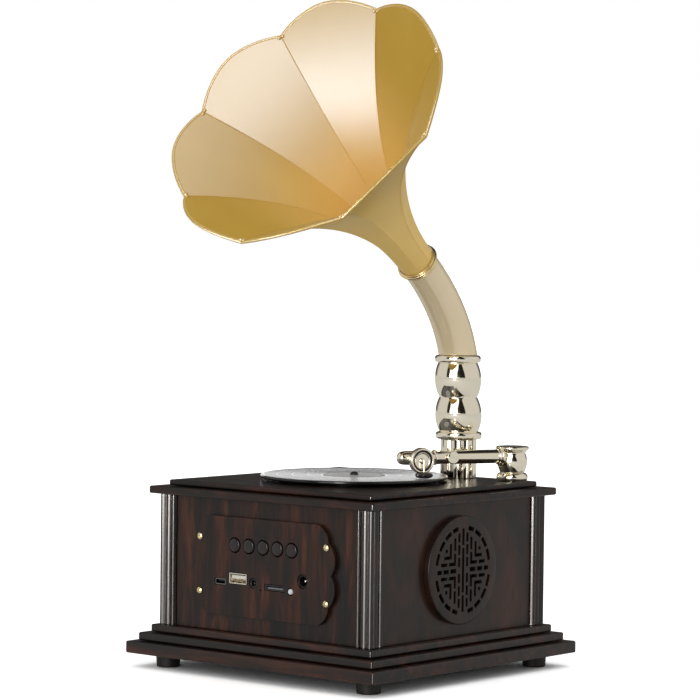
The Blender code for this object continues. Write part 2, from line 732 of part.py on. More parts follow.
def make_tonearm(lid_top, root):
    make_tonearm_base(lid_top, root)
    swing = empty("tonearm_axis", (*ARM_AXIS, 0.0), (0.0, 0.0, ARM_HEADING), root)
    make_tonearm_pivot(lid_top, swing)
    make_arm_tube(swing)
    make_head(swing)


def make_head(swing):
    """Forked front section on the cross pin, with the soundbox and its needle."""
    lift = empty("head_axis", (ARM_PIN_REACH, 0.0, ARM_HEIGHT), parent=swing)
    pin = [
        (0.0, -5.2 * MM),
        (PIN_RADIUS, -5.2 * MM),
        (PIN_RADIUS, 4.4 * MM),
        (3.6 * MM, 4.4 * MM),
        (3.2 * MM, 5.4 * MM),
        (0.0, 5.8 * MM),
    ]
    add_object("tonearm_pin", turn_to(lathe(pin, 16), (0.0, 1.0, 0.0)), "pale_gold", lift)
    length = ARM_END_REACH - ARM_PIN_REACH
    front = [
        (0.0, -2.8 * MM),
        (1.6 * MM, -2.3 * MM),
        (2.6 * MM, -1.2 * MM),
        (3.3 * MM, 0.0),
        (ARM_RADIUS, 2.0 * MM),
        (ARM_RADIUS, 12.0 * MM),
        (3.4 * MM, 13.0 * MM),
        (3.4 * MM, 14.0 * MM),
        (ARM_RADIUS, 15.0 * MM),
        (ARM_RADIUS, length - 3.2 * MM),
        (2.9 * MM, length - 0.9 * MM),
        (0.0, length),
    ]
    head = add_object("tonearm_head", turn_to(lathe(front, 20), (1.0, 0.0, 0.0)), "pale_gold", lift)
    slot = block((13.0 * MM, 3.0 * MM, 12.0 * MM))
    fork = add_object("fork_slot", slot, "pale_gold", lift, (0.0, 0.0, 0.0), False)
    cut(head, fork)
    bore = turn_to(rod(PIN_RADIUS + GAP, -6.0 * MM, 6.0 * MM), (0.0, 1.0, 0.0))
    cut(head, add_object("fork_bore", bore, "pale_gold", lift, (0.0, 0.0, 0.0), False))
    make_soundbox(lift, head)


def make_soundbox(lift, head):
    """The round soundbox hangs on the arm's outer side, with the needle bar before its face."""
    reach = SOUNDBOX_REACH - ARM_PIN_REACH
    back, front = 3.9 * MM, 8.4 * MM
    seat = block((2 * SOUNDBOX_RADIUS + 2 * GAP, 4.0 * MM, 12.0 * MM))
    flat = add_object("soundbox_seat", seat, "pale_gold", lift, (reach, back - GAP + 2.0 * MM, 0.0), False)
    cut(head, flat)
    profile = [
        (0.0, back),
        (SOUNDBOX_RADIUS - 0.6 * MM, back),
        (SOUNDBOX_RADIUS, back + 0.8 * MM),
        (SOUNDBOX_RADIUS, front - 0.8 * MM),
        (SOUNDBOX_RADIUS - 0.8 * MM, front),
        (SOUNDBOX_RADIUS - 2.0 * MM, front - 0.9 * MM),
        (1.6 * MM, front - 0.9 * MM),
        (0.0, front - 0.9 * MM),
    ]
    place = (reach, 0.0, -SOUNDBOX_DROP)
    add_object("soundbox", turn_to(lathe(profile, 24), (0.0, 1.0, 0.0)), "pale_gold", lift, place)
    bar_out = front + 1.3 * MM
    bottom = RECORD_TOP + GAP - (ARM_HEIGHT - SOUNDBOX_DROP)
    under = -SOUNDBOX_RADIUS - GAP
    bar = [
        (0.0, bottom),
        (3.6 * MM, bottom),
        (4.2 * MM, bottom + 0.6 * MM),
        (3.6 * MM, under),
        (0.6 * MM, under),
        (0.6 * MM, 1.2 * MM),
        (0.0, 1.2 * MM),
    ]
    add_object("needle", lathe(bar, 14), "black_gloss", lift, (reach, bar_out, -SOUNDBOX_DROP))


# ---------------------------------------------------------------- horn


def make_column(lid_top, root):
    """Fluted column with a tail through the lid and a spigot that carries the ferrule."""
    tail = SPIGOT_RADIUS - 1.0 * MM
    bore = 2.5 * MM
    profile = [
        (bore, lid_top - 12.0 * MM),
        (tail, lid_top - 12.0 * MM),
        (tail, lid_top + GAP),
        (COLUMN_RADIUS, lid_top + GAP),
        (COLUMN_RADIUS, COLUMN_TOP),
        (SPIGOT_RADIUS, COLUMN_TOP),
        (SPIGOT_RADIUS, SPIGOT_TOP),
        (bore, SPIGOT_TOP),
    ]
    bm = lathe(profile, 3 * COLUMN_FLUTES, closed=True)
    for vert in bm.verts:
        radius = math.hypot(vert.co.x, vert.co.y)
        if radius > SPIGOT_RADIUS + 1.0 * MM:
            angle = math.atan2(vert.co.y, vert.co.x)
            depth = 0.7 * MM * (0.5 - 0.5 * math.cos(COLUMN_FLUTES * angle))
            vert.co.xy *= (radius - depth) / radius
    add_object("column", bm, "pale_gold", root, (*COLUMN_AXIS, 0.0))


def bulb(bottom, top, end_radii, crown, steps):
    """Outer profile of one bulb of the ferrule, as (radius, height) points."""
    return [
        (x, y) for y, x in arc_through(
            (bottom, end_radii[0]), ((bottom + top) / 2, crown), (top, end_radii[1]), steps
        )
    ]


def make_ferrule(swivel):
    low = COLUMN_TOP + GAP
    ring = 4.2 * MM
    waist = (low + FERRULE_TOP) / 2
    profile = [
        (SPIGOT_RADIUS + GAP, low),
        (12.9 * MM, low),
        (13.6 * MM, low + 1.3 * MM),
        (13.6 * MM, low + ring - 1.3 * MM),
        (12.7 * MM, low + ring),
        *bulb(low + ring, waist, (11.4 * MM, 11.3 * MM), 13.7 * MM, 5),
        *bulb(waist, FERRULE_TOP - ring, (11.3 * MM, 11.7 * MM), 13.7 * MM, 5)[1:],
        (12.7 * MM, FERRULE_TOP - ring),
        (13.6 * MM, FERRULE_TOP - ring + 1.3 * MM),
        (13.6 * MM, FERRULE_TOP - 1.3 * MM),
        (12.9 * MM, FERRULE_TOP),
        (FERRULE_BORE, FERRULE_TOP),
        (FERRULE_BORE, SPIGOT_TOP + 1.0 * MM),
        (SPIGOT_RADIUS + GAP, SPIGOT_TOP + 1.0 * MM),
    ]
    bm = lathe(profile, 24, closed=True)
    for vert in bm.verts:
        if math.hypot(vert.co.x, vert.co.y) > SPIGOT_RADIUS + 2 * GAP:
            vert.co.x += FERRULE_LEAN * (vert.co.z - low) / (FERRULE_TOP - low)
    add_object("ferrule", bm, "pale_gold", swivel)
    seat = SPIGOT_TOP + 1.0 * MM + GAP
    driver = [
        (0.0, seat),
        (FERRULE_BORE - 0.6 * MM, seat),
        (FERRULE_BORE - 0.6 * MM, seat + 9.0 * MM),
        (6.6 * MM, seat + 9.0 * MM),
        (0.0, seat + 6.5 * MM),
    ]
    offset = FERRULE_LEAN * (seat + 4.5 * MM - low) / (FERRULE_TOP - low)
    add_object("horn_driver", lathe(driver, 16), "black_plastic", swivel, (offset, 0.0, 0.0))


def bezier(points, share):
    """Place and direction at a share of the way along a cubic curve."""
    a, b, c, d = (Vector((x, 0.0, z)) for x, z in points)
    rest = 1 - share
    place = a * rest**3 + b * 3 * rest**2 * share + c * 3 * rest * share**2 + d * share**3
    direction = (b - a) * rest**2 + (c - b) * 2 * rest * share + (d - c) * share**2
    return place, direction.normalized()


def ring_of(bm, place, direction, radius, segments):
    across = Vector((0.0, 1.0, 0.0))
    up = direction.cross(across)
    verts = []
    for i in range(segments):
        angle = math.tau * i / segments
        verts.append(bm.verts.new(place + radius * (math.cos(angle) * across + math.sin(angle) * up)))
    return verts


def level_ring(verts, direction, height):
    """Slides a ring's points along the tube's direction on to a level plane."""
    for vert in verts:
        vert.co += direction * ((height - vert.co.z) / direction.z)


def bridge(bm, first, second):
    for i in range(len(first)):
        j = (i + 1) % len(first)
        bm.faces.new((first[i], first[j], second[j], second[i]))


def make_elbow(swivel):
    """Hollow tube swept along its centreline, cut level where it stands on the ferrule."""
    steps, segments = 8, 20
    bm = bmesh.new()
    walls = []
    for inset in (0.0, ELBOW_WALL):
        rings = []
        for i in range(steps + 1):
            share = i / steps
            place, direction = bezier(ELBOW_PATH, share)
            radius = ELBOW_BOTTOM_RADIUS + (NECK_RADIUS - ELBOW_BOTTOM_RADIUS) * share - inset
            ring = ring_of(bm, place, direction, radius, segments)
            if i == 0:
                level_ring(ring, direction, ELBOW_PATH[0][1])
            rings.append(ring)
        for pair in zip(rings, rings[1:]):
            bridge(bm, *pair)
        walls.append(rings)
    bridge(bm, walls[0][0], walls[1][0])
    bridge(bm, walls[0][-1], walls[1][-1])
    add_object("elbow", bm, "champagne", swivel)


def flare(share):
    """Bell radius at its seams, at a share of the way from the collar to the rim's notches."""
    return NECK_RADIUS + (BELL_SEAM_RADIUS - NECK_RADIUS) * share**BELL_FLARE


def petal_point(share, across, depth):
    """A point of a petal centred on +X; across runs from -1 to 1 between its seams."""
    half = math.pi / PETAL_COUNT
    reach = share * (1 + PETAL_OVERHANG * (1 - abs(across) ** PETAL_ROUNDNESS))
    radius = flare(reach)
    margin = GAP / 2 / radius
    angle = across * (half - margin)
    flatness = min(1.0, reach / 0.3)
    radius *= 1 - flatness + flatness * math.cos(half) / math.cos(angle)
    slope = (flare(reach + 0.01) - flare(reach)) / (0.01 * BELL_LENGTH)
    length = math.hypot(slope, 1.0)
    along = reach * BELL_LENGTH + depth * slope / length
    radius -= depth / length
    return Vector((radius * math.cos(angle), radius * math.sin(angle), along))


def make_petal(number, bell):
    rows, columns = 9, 4
    bm = bmesh.new()
    sides = []
    for depth in (0.0, BELL_WALL):
        grid = []
        for i in range(rows + 1):
            share = (i / rows) ** 0.8
            grid.append([bm.verts.new(petal_point(share, 2 * j / columns - 1, depth)) for j in range(columns + 1)])
        sides.append(grid)
    for grid in sides:
        for i in range(rows):
            for j in range(columns):
                bm.faces.new((grid[i][j], grid[i][j + 1], grid[i + 1][j + 1], grid[i + 1][j]))
    outer, inner = sides
    for row in (0, rows):
        for j in range(columns):
            bm.faces.new((outer[row][j], outer[row][j + 1], inner[row][j + 1], inner[row][j]))
    for column in (0, columns):
        for i in range(rows):
            bm.faces.new((outer[i][column], outer[i + 1][column], inner[i + 1][column], inner[i][column]))
    step = math.tau / PETAL_COUNT
    turn = Matrix.Rotation(SEAM_TWIST + step * (number - 0.5), 3, "Z")
    bmesh.ops.rotate(bm, cent=(0.0, 0.0, 0.0), matrix=turn, verts=bm.verts)
    add_object(f"petal_{number}", bm, "satin_gold", bell)


def make_bell(swivel):
    """Collar ring and eight petals, about the bell's own axis."""
    reach, height = ELBOW_PATH[-1]
    tip = (0.0, math.pi / 2 - BELL_ELEVATION, 0.0)
    bell = empty("bell_axis", (reach, 0.0, height), tip, swivel)
    inner = NECK_RADIUS + GAP
    collar = [
        (inner, -2.0 * MM),
        (COLLAR_RADIUS - 0.8 * MM, -2.0 * MM),
        (COLLAR_RADIUS, -0.9 * MM),
        (COLLAR_RADIUS, 0.9 * MM),
        (COLLAR_RADIUS - 0.8 * MM, 2.0 * MM),
        (inner + 0.2 * MM, 2.0 * MM),
    ]
    add_object("collar", lathe(collar, 24, closed=True), "pale_gold", bell)
    start = empty("petal_start", (0.0, 0.0, GAP), parent=bell)
    for number in range(1, PETAL_COUNT + 1):
        make_petal(number, start)


def make_horn(lid_top, root):
    make_column(lid_top, root)
    swivel = empty("horn_axis", (*COLUMN_AXIS, 0.0), (0.0, 0.0, HORN_HEADING), root)
    make_ferrule(swivel)
    make_elbow(swivel)
    make_bell(swivel)


# ---------------------------------------------------------------- assembly


def shown_corners():
    """Lowest and highest corner of all the pieces, guides left out."""
    bpy.context.view_layer.update()
    graph = bpy.context.evaluated_depsgraph_get()
    points = []
    for made in bpy.context.scene.objects:
        if made.type == "MESH" and not made.hide_render:
            shape = made.evaluated_get(graph)
            points += [shape.matrix_world @ v.co for v in shape.data.vertices]
    low = Vector(min(p[i] for p in points) for i in range(3))
    high = Vector(max(p[i] for p in points) for i in range(3))
    return low, high


def main():
    for made in list(bpy.data.objects):
        bpy.data.objects.remove(made, do_unlink=True)
    root = empty("loudspeaker", (0.0, 0.0, 0.0))
    lid_top = make_case(root)
    make_controls(root)
    make_sides(root)
    make_record(lid_top, root)
    make_tonearm(lid_top, root)
    make_horn(lid_top, root)
    low, high = shown_corners()
    root.location = (-(low.x + high.x) / 2, -(low.y + high.y) / 2, -low.z)
    bpy.context.view_layer.update()


main()
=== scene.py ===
"""Looks of a table-top horn loudspeaker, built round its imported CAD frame.

Shapes are drawn in millimetres in the frames below, and set in place by matrices that come
from the CAD boxes and joints.
"""

import json

import bmesh
import bpy
from math import atan2, cos, hypot, pi, radians, sin, tau
from mathutils import Matrix, Vector

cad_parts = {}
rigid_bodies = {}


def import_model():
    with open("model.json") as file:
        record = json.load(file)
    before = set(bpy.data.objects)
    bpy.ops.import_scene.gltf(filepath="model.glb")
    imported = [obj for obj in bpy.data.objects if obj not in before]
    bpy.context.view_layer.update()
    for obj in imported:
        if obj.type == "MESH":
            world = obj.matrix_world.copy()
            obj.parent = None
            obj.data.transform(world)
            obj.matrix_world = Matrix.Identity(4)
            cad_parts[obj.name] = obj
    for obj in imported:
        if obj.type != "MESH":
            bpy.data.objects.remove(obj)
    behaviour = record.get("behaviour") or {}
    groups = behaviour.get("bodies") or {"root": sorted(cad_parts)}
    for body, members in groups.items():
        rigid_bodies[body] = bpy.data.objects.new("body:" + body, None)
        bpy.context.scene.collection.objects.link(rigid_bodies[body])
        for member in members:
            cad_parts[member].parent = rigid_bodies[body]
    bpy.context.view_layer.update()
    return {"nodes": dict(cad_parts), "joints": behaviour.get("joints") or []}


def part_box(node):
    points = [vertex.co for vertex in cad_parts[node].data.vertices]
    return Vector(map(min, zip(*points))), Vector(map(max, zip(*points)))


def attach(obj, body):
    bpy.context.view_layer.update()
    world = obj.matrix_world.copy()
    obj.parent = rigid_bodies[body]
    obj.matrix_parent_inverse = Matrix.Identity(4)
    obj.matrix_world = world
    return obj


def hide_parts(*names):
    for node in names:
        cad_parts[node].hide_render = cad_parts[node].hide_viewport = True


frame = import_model()

MM = Matrix.Scale(0.001, 4)
HORN_HEADING = radians(-86.0)
ARM_HEADING = radians(-116.8)
ARM_HEIGHT = 123.0
ARM_PIN_REACH = 40.3
BELL_ELEVATION = radians(36.0)


def put(name, data):
    """A new object in the scene."""
    made = bpy.data.objects.new(name, data)
    bpy.context.scene.collection.objects.link(made)
    return made


def at(x, y, z):
    return Matrix.Translation((x, y, z))


def middle(node):
    low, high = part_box(node)
    return (low + high) / 2


def joint_place(name):
    return Vector(next(j["pos_m"] for j in frame["joints"] if j["name"] == name))


def upright(place, heading=0.0):
    """A frame in millimetres on the ground under a place, turned about Z."""
    return at(place.x, place.y, 0.0) @ Matrix.Rotation(heading, 4, "Z") @ MM


BASE = upright(middle("plinth_lower"))
HORN = upright(joint_place("horn_swivel"), HORN_HEADING)
ARM = upright(joint_place("tonearm_swing"), ARM_HEADING)
HEAD = ARM @ at(ARM_PIN_REACH, 0.0, ARM_HEIGHT)
ELBOW_PATH = ((2.0, 181.2), (8.1, 202.3), (24.0, 220.2), (44.9, 235.4))
BELL = HORN @ at(ELBOW_PATH[-1][0], 0.0, ELBOW_PATH[-1][1]) @ Matrix.Rotation(pi / 2 - BELL_ELEVATION, 4, "Y")
FRONT = Matrix.Rotation(pi / 2, 4, "X")  # stands an XY drawing up, facing -Y
ALONG_X = Matrix.Rotation(pi / 2, 4, "Y")
ALONG_Y = Matrix.Rotation(-pi / 2, 4, "X")


# ---- finishes


class Tree:
    """Shorthand for building one node tree."""

    def __init__(self, tree):
        self.tree = tree

    def node(self, kind, inputs=(), **settings):
        made = self.tree.nodes.new("ShaderNode" + kind)
        for key, value in settings.items():
            setattr(made, key, value)
        for key, value in dict(inputs).items():
            self.feed(made.inputs[key], value)
        return made

    def feed(self, socket, value):
        if isinstance(value, bpy.types.NodeSocket):
            self.tree.links.new(value, socket)
        else:
            socket.default_value = value

    def math(self, operation, first, second=0.0):
        return self.node("Math", {0: first, 1: second}, operation=operation).outputs[0]

    def ranged(self, value, low, high, to_low=0.0, to_high=1.0):
        """Maps a value smoothly from one range to another, and holds it at the ends."""
        inputs = {"Value": value, "From Min": low, "From Max": high, "To Min": to_low, "To Max": to_high}
        return self.node("MapRange", inputs, interpolation_type="SMOOTHSTEP").outputs["Result"]


class Finish(Tree):
    """A node material, built up step by step."""

    def __init__(self, name):
        self.material = bpy.data.materials.new(name)
        self.material.use_nodes = True
        super().__init__(self.material.node_tree)
        self.shader = self.tree.nodes["Principled BSDF"]

    def set(self, **values):
        for key, value in values.items():
            self.feed(self.shader.inputs[key.replace("_", " ")], value)
        return self

    def place(self):
        return self.node("TexCoord").outputs["Object"]

    def mapped(self, scale, shift=(0.0, 0.0, 0.0), source=None):
        inputs = {"Vector": source or self.place(), "Scale": scale, "Location": shift}
        return self.node("Mapping", inputs).outputs["Vector"]

    def noise(self, vector, scale=1.0, detail=3.0, roughness=0.5, distortion=0.0):
        inputs = {"Vector": vector, "Scale": scale, "Detail": detail, "Roughness": roughness}
        inputs["Distortion"] = distortion
        return self.node("TexNoise", inputs).outputs["Fac"]

    def ramp(self, value, stops):
        made = self.node("ValToRGB", {"Fac": value})
        line = made.color_ramp
        while len(line.elements) < len(stops):
            line.elements.new(0.5)
        for element, (spot, colour) in zip(line.elements, stops):
            element.position = spot
            element.color = (*colour, 1.0)
        return made.outputs["Color"]

    def mixed(self, share, first, second):
        made = self.node("Mix", data_type="RGBA")
        for key, value in ((0, share), (6, first), (7, second)):
            self.feed(made.inputs[key], (*value, 1.0) if isinstance(value, tuple) else value)
        return made.outputs[2]

    def bump(self, height, strength, distance):
        inputs = {"Height": height, "Strength": strength, "Distance": distance}
        self.set(Normal=self.node("Bump", inputs).outputs["Normal"])
        return self


def wood(name, grain, red, seed, dark=1.0, gloss=0.10, across=(105.0, 300.0, 2200.0)):
    """Dark rosewood under a semi-gloss lacquer; grain is the axis that it runs along."""
    made = Finish(name)
    along = (17.0, 30.0, 90.0)
    spots = []
    for wide, long in zip(across, along):
        scale = [wide] * 3
        scale[grain] = long
        spots.append(made.mapped(scale, (seed, seed * 1.7, seed * 0.6)))
    patches = made.noise(spots[0], detail=2.0, distortion=0.9)
    streaks = made.noise(spots[1], detail=4.0, roughness=0.6, distortion=0.8)
    pores = made.noise(spots[2], detail=2.0)
    figure = made.math("ADD", made.math("MULTIPLY", patches, 0.62), made.math("MULTIPLY", streaks, 0.38))
    warm = (0.0150 * dark + 0.013 * red, 0.0066 * dark + 0.002 * red, 0.0040 * dark)
    hot = (0.0180 * dark + 0.056 * red, 0.0070 * dark + 0.014 * red, 0.0040 * dark + 0.004 * red)
    stops = (
        (0.36, (0.0050 * dark, 0.0042 * dark, 0.0038 * dark)),
        (0.46, (0.0092 * dark, 0.0056 * dark, 0.0044 * dark)),
        (0.55, warm),
        (0.68, hot),
    )
    colour = made.ramp(figure, stops)
    open_pore = made.ranged(pores, 0.28, 0.44)
    colour = made.mixed(open_pore, (0.0060, 0.0038, 0.0030), colour)
    made.set(Base_Color=colour, Roughness=made.ranged(streaks, 0.3, 0.7, 0.34, 0.27))
    made.set(Specular_IOR_Level=0.30, Coat_Weight=gloss, Coat_Roughness=0.10)
    relief = made.math("ADD", made.math("MULTIPLY", open_pore, 0.5), made.math("MULTIPLY", streaks, 0.7))
    return made.bump(relief, 0.2, 0.00005).material


def satin(made, colour, low, high, shine, metallic=0.0):
    """Finishes a metallic lacquer with a fine even grain, between two roughnesses."""
    speck = made.noise(made.place(), 2600.0, 2.0, 0.7)
    made.set(Base_Color=colour, Metallic=metallic, IOR=shine)
    made.set(Roughness=made.ranged(speck, 0.3, 0.7, low, high))
    return made.bump(speck, 0.10, 0.00004).material


def drifting(made, colour, tint):
    """A colour that drifts faintly towards another."""
    drift = made.noise(made.place(), 28.0, 3.0)
    return made.mixed(made.ranged(drift, 0.35, 0.65), colour, tint)


def champagne():
    made = Finish("champagne")
    colour = drifting(made, (0.83, 0.675, 0.425), (0.85, 0.695, 0.445))
    return satin(made, colour, 0.09, 0.16, 2.1, 0.05)


def gold_lacquer(neck):
    """Satin gold under clear lacquer, painted much lighter round the neck of the bell for the light that
    bounces about in the throat.
    """
    made = Finish("satin_gold")
    span = made.node("VectorMath", {0: made.place(), 1: neck}, operation="DISTANCE")
    # painted light: this lighter gold near the neck stands in for light bouncing in the throat
    painted_throat_light = drifting(made, (0.84, 0.575, 0.18), (0.88, 0.605, 0.19))
    plain = drifting(made, (0.47, 0.288, 0.026), (0.49, 0.302, 0.032))
    # the painted light fades from the neck to the plain gold with distance
    colour = made.mixed(made.ranged(span.outputs["Value"], 0.04, 0.14), painted_throat_light, plain)
    return satin(made, colour, 0.45, 0.52, 1.45)


def polished_metal(name, colour, roughness=0.05):
    """Mirror plating with faint rubbing marks."""
    made = Finish(name)
    rub = made.noise(made.mapped((60.0, 60.0, 240.0)), 4.0, 4.0, 0.6)
    made.set(Base_Color=(*colour, 1.0), Metallic=1.0)
    made.set(Roughness=made.ranged(rub, 0.35, 0.7, roughness, roughness + 0.05))
    return made.bump(rub, 0.03, 0.00002).material


def moulded(name, colour, roughness, grain=1400.0, depth=0.12, **more):
    """Plastic or rubber with a fine moulded grain."""
    made = Finish(name)
    speck = made.noise(made.place(), grain, 3.0, 0.6)
    darker = tuple(c * 0.75 for c in colour)
    made.set(Base_Color=made.mixed(made.ranged(speck, 0.3, 0.7), darker, colour))
    made.set(Roughness=made.ranged(speck, 0.3, 0.7, roughness * 0.9, min(1.0, roughness * 1.15)), **more)
    return made.bump(speck, depth, 0.00003).material


def vinyl(centre):
    """Pressed black record: fine grooves in rings, with two wider silent rings, and a painted sheen that
    makes the top grey, lighter over the grooves.
    """
    made = Finish("vinyl")
    flat = made.mapped((1000.0, 1000.0, 0.0), (-1000.0 * centre.x, -1000.0 * centre.y, 0.0))
    radius = made.node("VectorMath", {0: flat}, operation="LENGTH").outputs["Value"]
    wave = made.math("SINE", made.math("MULTIPLY", radius, tau / 0.5))
    silent = made.math("ABSOLUTE", made.math("SINE", made.math("MULTIPLY", radius, pi / 9.0)))
    grooved = made.math("MULTIPLY", made.ranged(radius, 19.0, 19.6), made.ranged(radius, 52.4, 51.8))
    grooved = made.math("MULTIPLY", grooved, made.ranged(silent, 0.05, 0.12))
    # painted sheen: only the top face is grey, for the sheen black vinyl shows at a low angle; rim and
    # underside stay black
    top = made.ranged(made.node("SeparateXYZ", {0: made.place()}).outputs["Z"], 0.11150, 0.11168)
    painted_sheen = made.mixed(grooved, (0.05, 0.05, 0.052), (0.09, 0.09, 0.092))
    made.set(Base_Color=made.mixed(top, (0.008, 0.008, 0.008), painted_sheen))
    made.set(Roughness=made.ranged(grooved, 0.0, 1.0, 0.10, 0.22))
    return made.bump(made.math("MULTIPLY", wave, grooved), 0.35, 0.00005).material


def cloth():
    made = Finish("speaker_cloth")
    over = made.node("TexWave", {"Vector": made.place(), "Scale": 420.0}, bands_direction="Y")
    under = made.node("TexWave", {"Vector": made.place(), "Scale": 420.0}, bands_direction="Z")
    weave = made.math("MULTIPLY", over.outputs["Fac"], under.outputs["Fac"])
    made.set(Base_Color=made.mixed(weave, (0.003, 0.003, 0.003), (0.016, 0.015, 0.014)))
    made.set(Roughness=0.95, Sheen_Weight=0.1)
    return made.bump(weave, 0.5, 0.0002).material


WOOD_FRONT = wood("rosewood_front", 2, 1.05, 3.0, 1.2)
WOOD_PLATE = wood("rosewood_plate", 2, 1.2, 3.4, 1.1)
WOOD_SIDE = wood("rosewood_side", 2, 0.30, 11.0, 1.75, 0.10, (34.0, 60.0, 2200.0))
WOOD_POST = wood("rosewood_post", 2, 0.40, 17.0, 0.6, 0.5)
WOOD_BOARD = wood("rosewood_board", 0, 0.80, 23.0, 0.85, 0.30)
WOOD_LID = wood("rosewood_lid", 0, 0.60, 31.0, 0.65, 0.18)
WOOD_FRET = wood("rosewood_fret", 2, 0.12, 41.0, 1.6)
SATIN_GOLD = gold_lacquer(BELL.translation)
CHAMPAGNE = champagne()
PALE_GOLD = polished_metal("pale_gold", (0.97, 0.90, 0.74))
COLLAR_GOLD = polished_metal("collar_gold", (0.94, 0.76, 0.42), 0.08)
BRASS = polished_metal("brass_plate", (0.86, 0.74, 0.42), 0.20)
STEEL = polished_metal("plated_steel", (0.93, 0.88, 0.76), 0.12)
CONTACT = polished_metal("contact_gold", (0.95, 0.72, 0.34), 0.2)
BLACK_GLOSS = moulded("black_gloss", (0.012, 0.010, 0.010), 0.12, depth=0.03)
BUTTON = moulded("button_cap", (0.017, 0.010, 0.010), 0.22, depth=0.03)
# painted shade: socket metal coloured dark for the shade deep inside the micro-USB and line sockets
SHADE_DARKENED_METAL = polished_metal("dark_chrome", (0.16, 0.155, 0.15), 0.06)
BLACK_PLASTIC = moulded("black_plastic", (0.010, 0.010, 0.011), 0.45)
GREY_PLASTIC = moulded("grey_plastic", (0.20, 0.20, 0.21), 0.40)
WHITE_PLASTIC = moulded("white_plastic", (0.80, 0.76, 0.68), 0.35)
RUBBER = moulded("foot_rubber", (0.016, 0.013, 0.011), 0.55, 900.0, 0.3)
BOARD_GREEN = moulded("board_green", (0.020, 0.110, 0.045), 0.45, 300.0)
LABEL = moulded("record_label", (0.38, 0.38, 0.385), 0.45, 2200.0, 0.2)
ENGRAVED = moulded("engraved_mark", (0.004, 0.003, 0.003), 0.8)
LIGHT_DOME = moulded("light_dome", (0.80, 0.83, 0.87), 0.25, depth=0.02)
VINYL = vinyl(middle("record_disc"))
CLOTH = cloth()


# ---- shapes


def meshed(name, bm):
    """A mesh of a drawing, which is used up."""
    mesh = bpy.data.meshes.new(name)
    bm.to_mesh(mesh)
    bm.free()
    return mesh


def shade(mesh, angle=38.0):
    mesh.shade_smooth()
    mesh.set_sharp_from_angle(angle=radians(angle))


def piece(name, bm, matrix, body, finish, replaces=(), angle=38.0):
    """Turns a drawing into a named piece in its place, riding on a body."""
    bm.transform(matrix)
    bmesh.ops.recalc_face_normals(bm, faces=bm.faces)
    mesh = meshed(name, bm)
    shade(mesh, angle)
    mesh.materials.append(finish)
    made = put(name, mesh)
    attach(made, body)
    if replaces:
        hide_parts(*replaces)
    return made


def soften(made, width, segments, angle):
    """Rounds the hard edges of a piece by a width in millimetres."""
    bevel = made.modifiers.new("soften", "BEVEL")
    bevel.width = width / 1000.0
    bevel.segments = segments
    bevel.limit_method = "ANGLE"
    bevel.angle_limit = radians(angle)
    bevel.harden_normals = True


def gilded(name, bm, place, body, node, angle=38.0):
    """A pale gold piece that stands for a node."""
    return piece(name, bm, place, body, PALE_GOLD, [node], angle)


def level_normals(made):
    """Keeps broad flat faces flat beside rounded edges."""
    made.modifiers.new("level_normals", "WEIGHTED_NORMAL").keep_sharp = True


def carve(made, tool):
    """Cuts a drawing away from a piece, in the same frame, for good."""
    bmesh.ops.recalc_face_normals(tool, faces=tool.faces)
    cutter = put("tool", meshed("tool", tool))
    modifier = made.modifiers.new("carve", "BOOLEAN")
    modifier.operation = "DIFFERENCE"
    modifier.solver = "EXACT"
    modifier.object = cutter
    bpy.context.view_layer.update()
    cut = bpy.data.meshes.new_from_object(made.evaluated_get(bpy.context.evaluated_depsgraph_get()))
    made.modifiers.remove(modifier)
    made.data = cut
    bpy.data.objects.remove(cutter, do_unlink=True)


def rounded(points, radius=0.0, steps=4, closed=False):
    """A line of (x, y) points with its corners rounded; a third number sets one corner's radius."""
    line = []
    count = len(points)
    for i, point in enumerate(points):
        here = Vector(point[:2])
        size = point[2] if len(point) > 2 else radius
        if size == 0.0 or (not closed and i in (0, count - 1)):
            line.append(tuple(here))
            continue
        back = Vector(points[i - 1][:2]) - here
        ahead = Vector(points[(i + 1) % count][:2]) - here
        start = here + back.normalized() * min(size, back.length * 0.49)
        end = here + ahead.normalized() * min(size, ahead.length * 0.49)
        for k in range(steps + 1):
            t = k / steps
            line.append(tuple(start * (1 - t) ** 2 + here * 2 * t * (1 - t) + end * t * t))
    return line


def lathe(profile, segments=64, closed=False):
    """Turns a profile of (radius, height) points about Z."""
    bm = bmesh.new()
    rings = []
    for radius, height in profile:
        if abs(radius) < 1e-6:
            rings.append([bm.verts.new((0.0, 0.0, height))])
            continue
        angles = [tau * k / segments for k in range(segments)]
        rings.append([bm.verts.new((radius * cos(a), radius * sin(a), height)) for a in angles])
    skin(bm, rings + rings[:1] if closed else rings)
    return bm


def turned(profile, steps, segments, closed=False):
    """Turns a profile about Z, after rounding its corners."""
    return lathe(rounded(profile, 0.0, steps, closed), segments, closed)


def band(bm, first, second):
    """Faces between two rings, either of which may be a single point."""
    count = max(len(first), len(second))
    for k in range(count):
        n = (k + 1) % count
        if len(first) == len(second):
            bm.faces.new((first[k], first[n], second[n], second[k]))
        elif len(first) == 1:
            bm.faces.new((first[0], second[n], second[k]))
        else:
            bm.faces.new((first[k], first[n], second[0]))


def skin(bm, rings):
    for first, second in zip(rings, rings[1:]):
        band(bm, first, second)


def arc(centre, radius, start, end, steps):
    angles = [radians(start + (end - start) * k / steps) for k in range(steps + 1)]
    return [(centre[0] + radius * cos(a), centre[1] + radius * sin(a)) for a in angles]


def circle(centre, radius, segments=48):
    return arc(centre, radius, 0.0, 360.0, segments)[:-1]


def rectangle(centre, size, rounding=0.0):
    x, y, w, h = *centre, size[0] / 2, size[1] / 2
    return rounded([(x - w, y - h), (x + w, y - h), (x + w, y + h), (x - w, y + h)], rounding, 4, True)


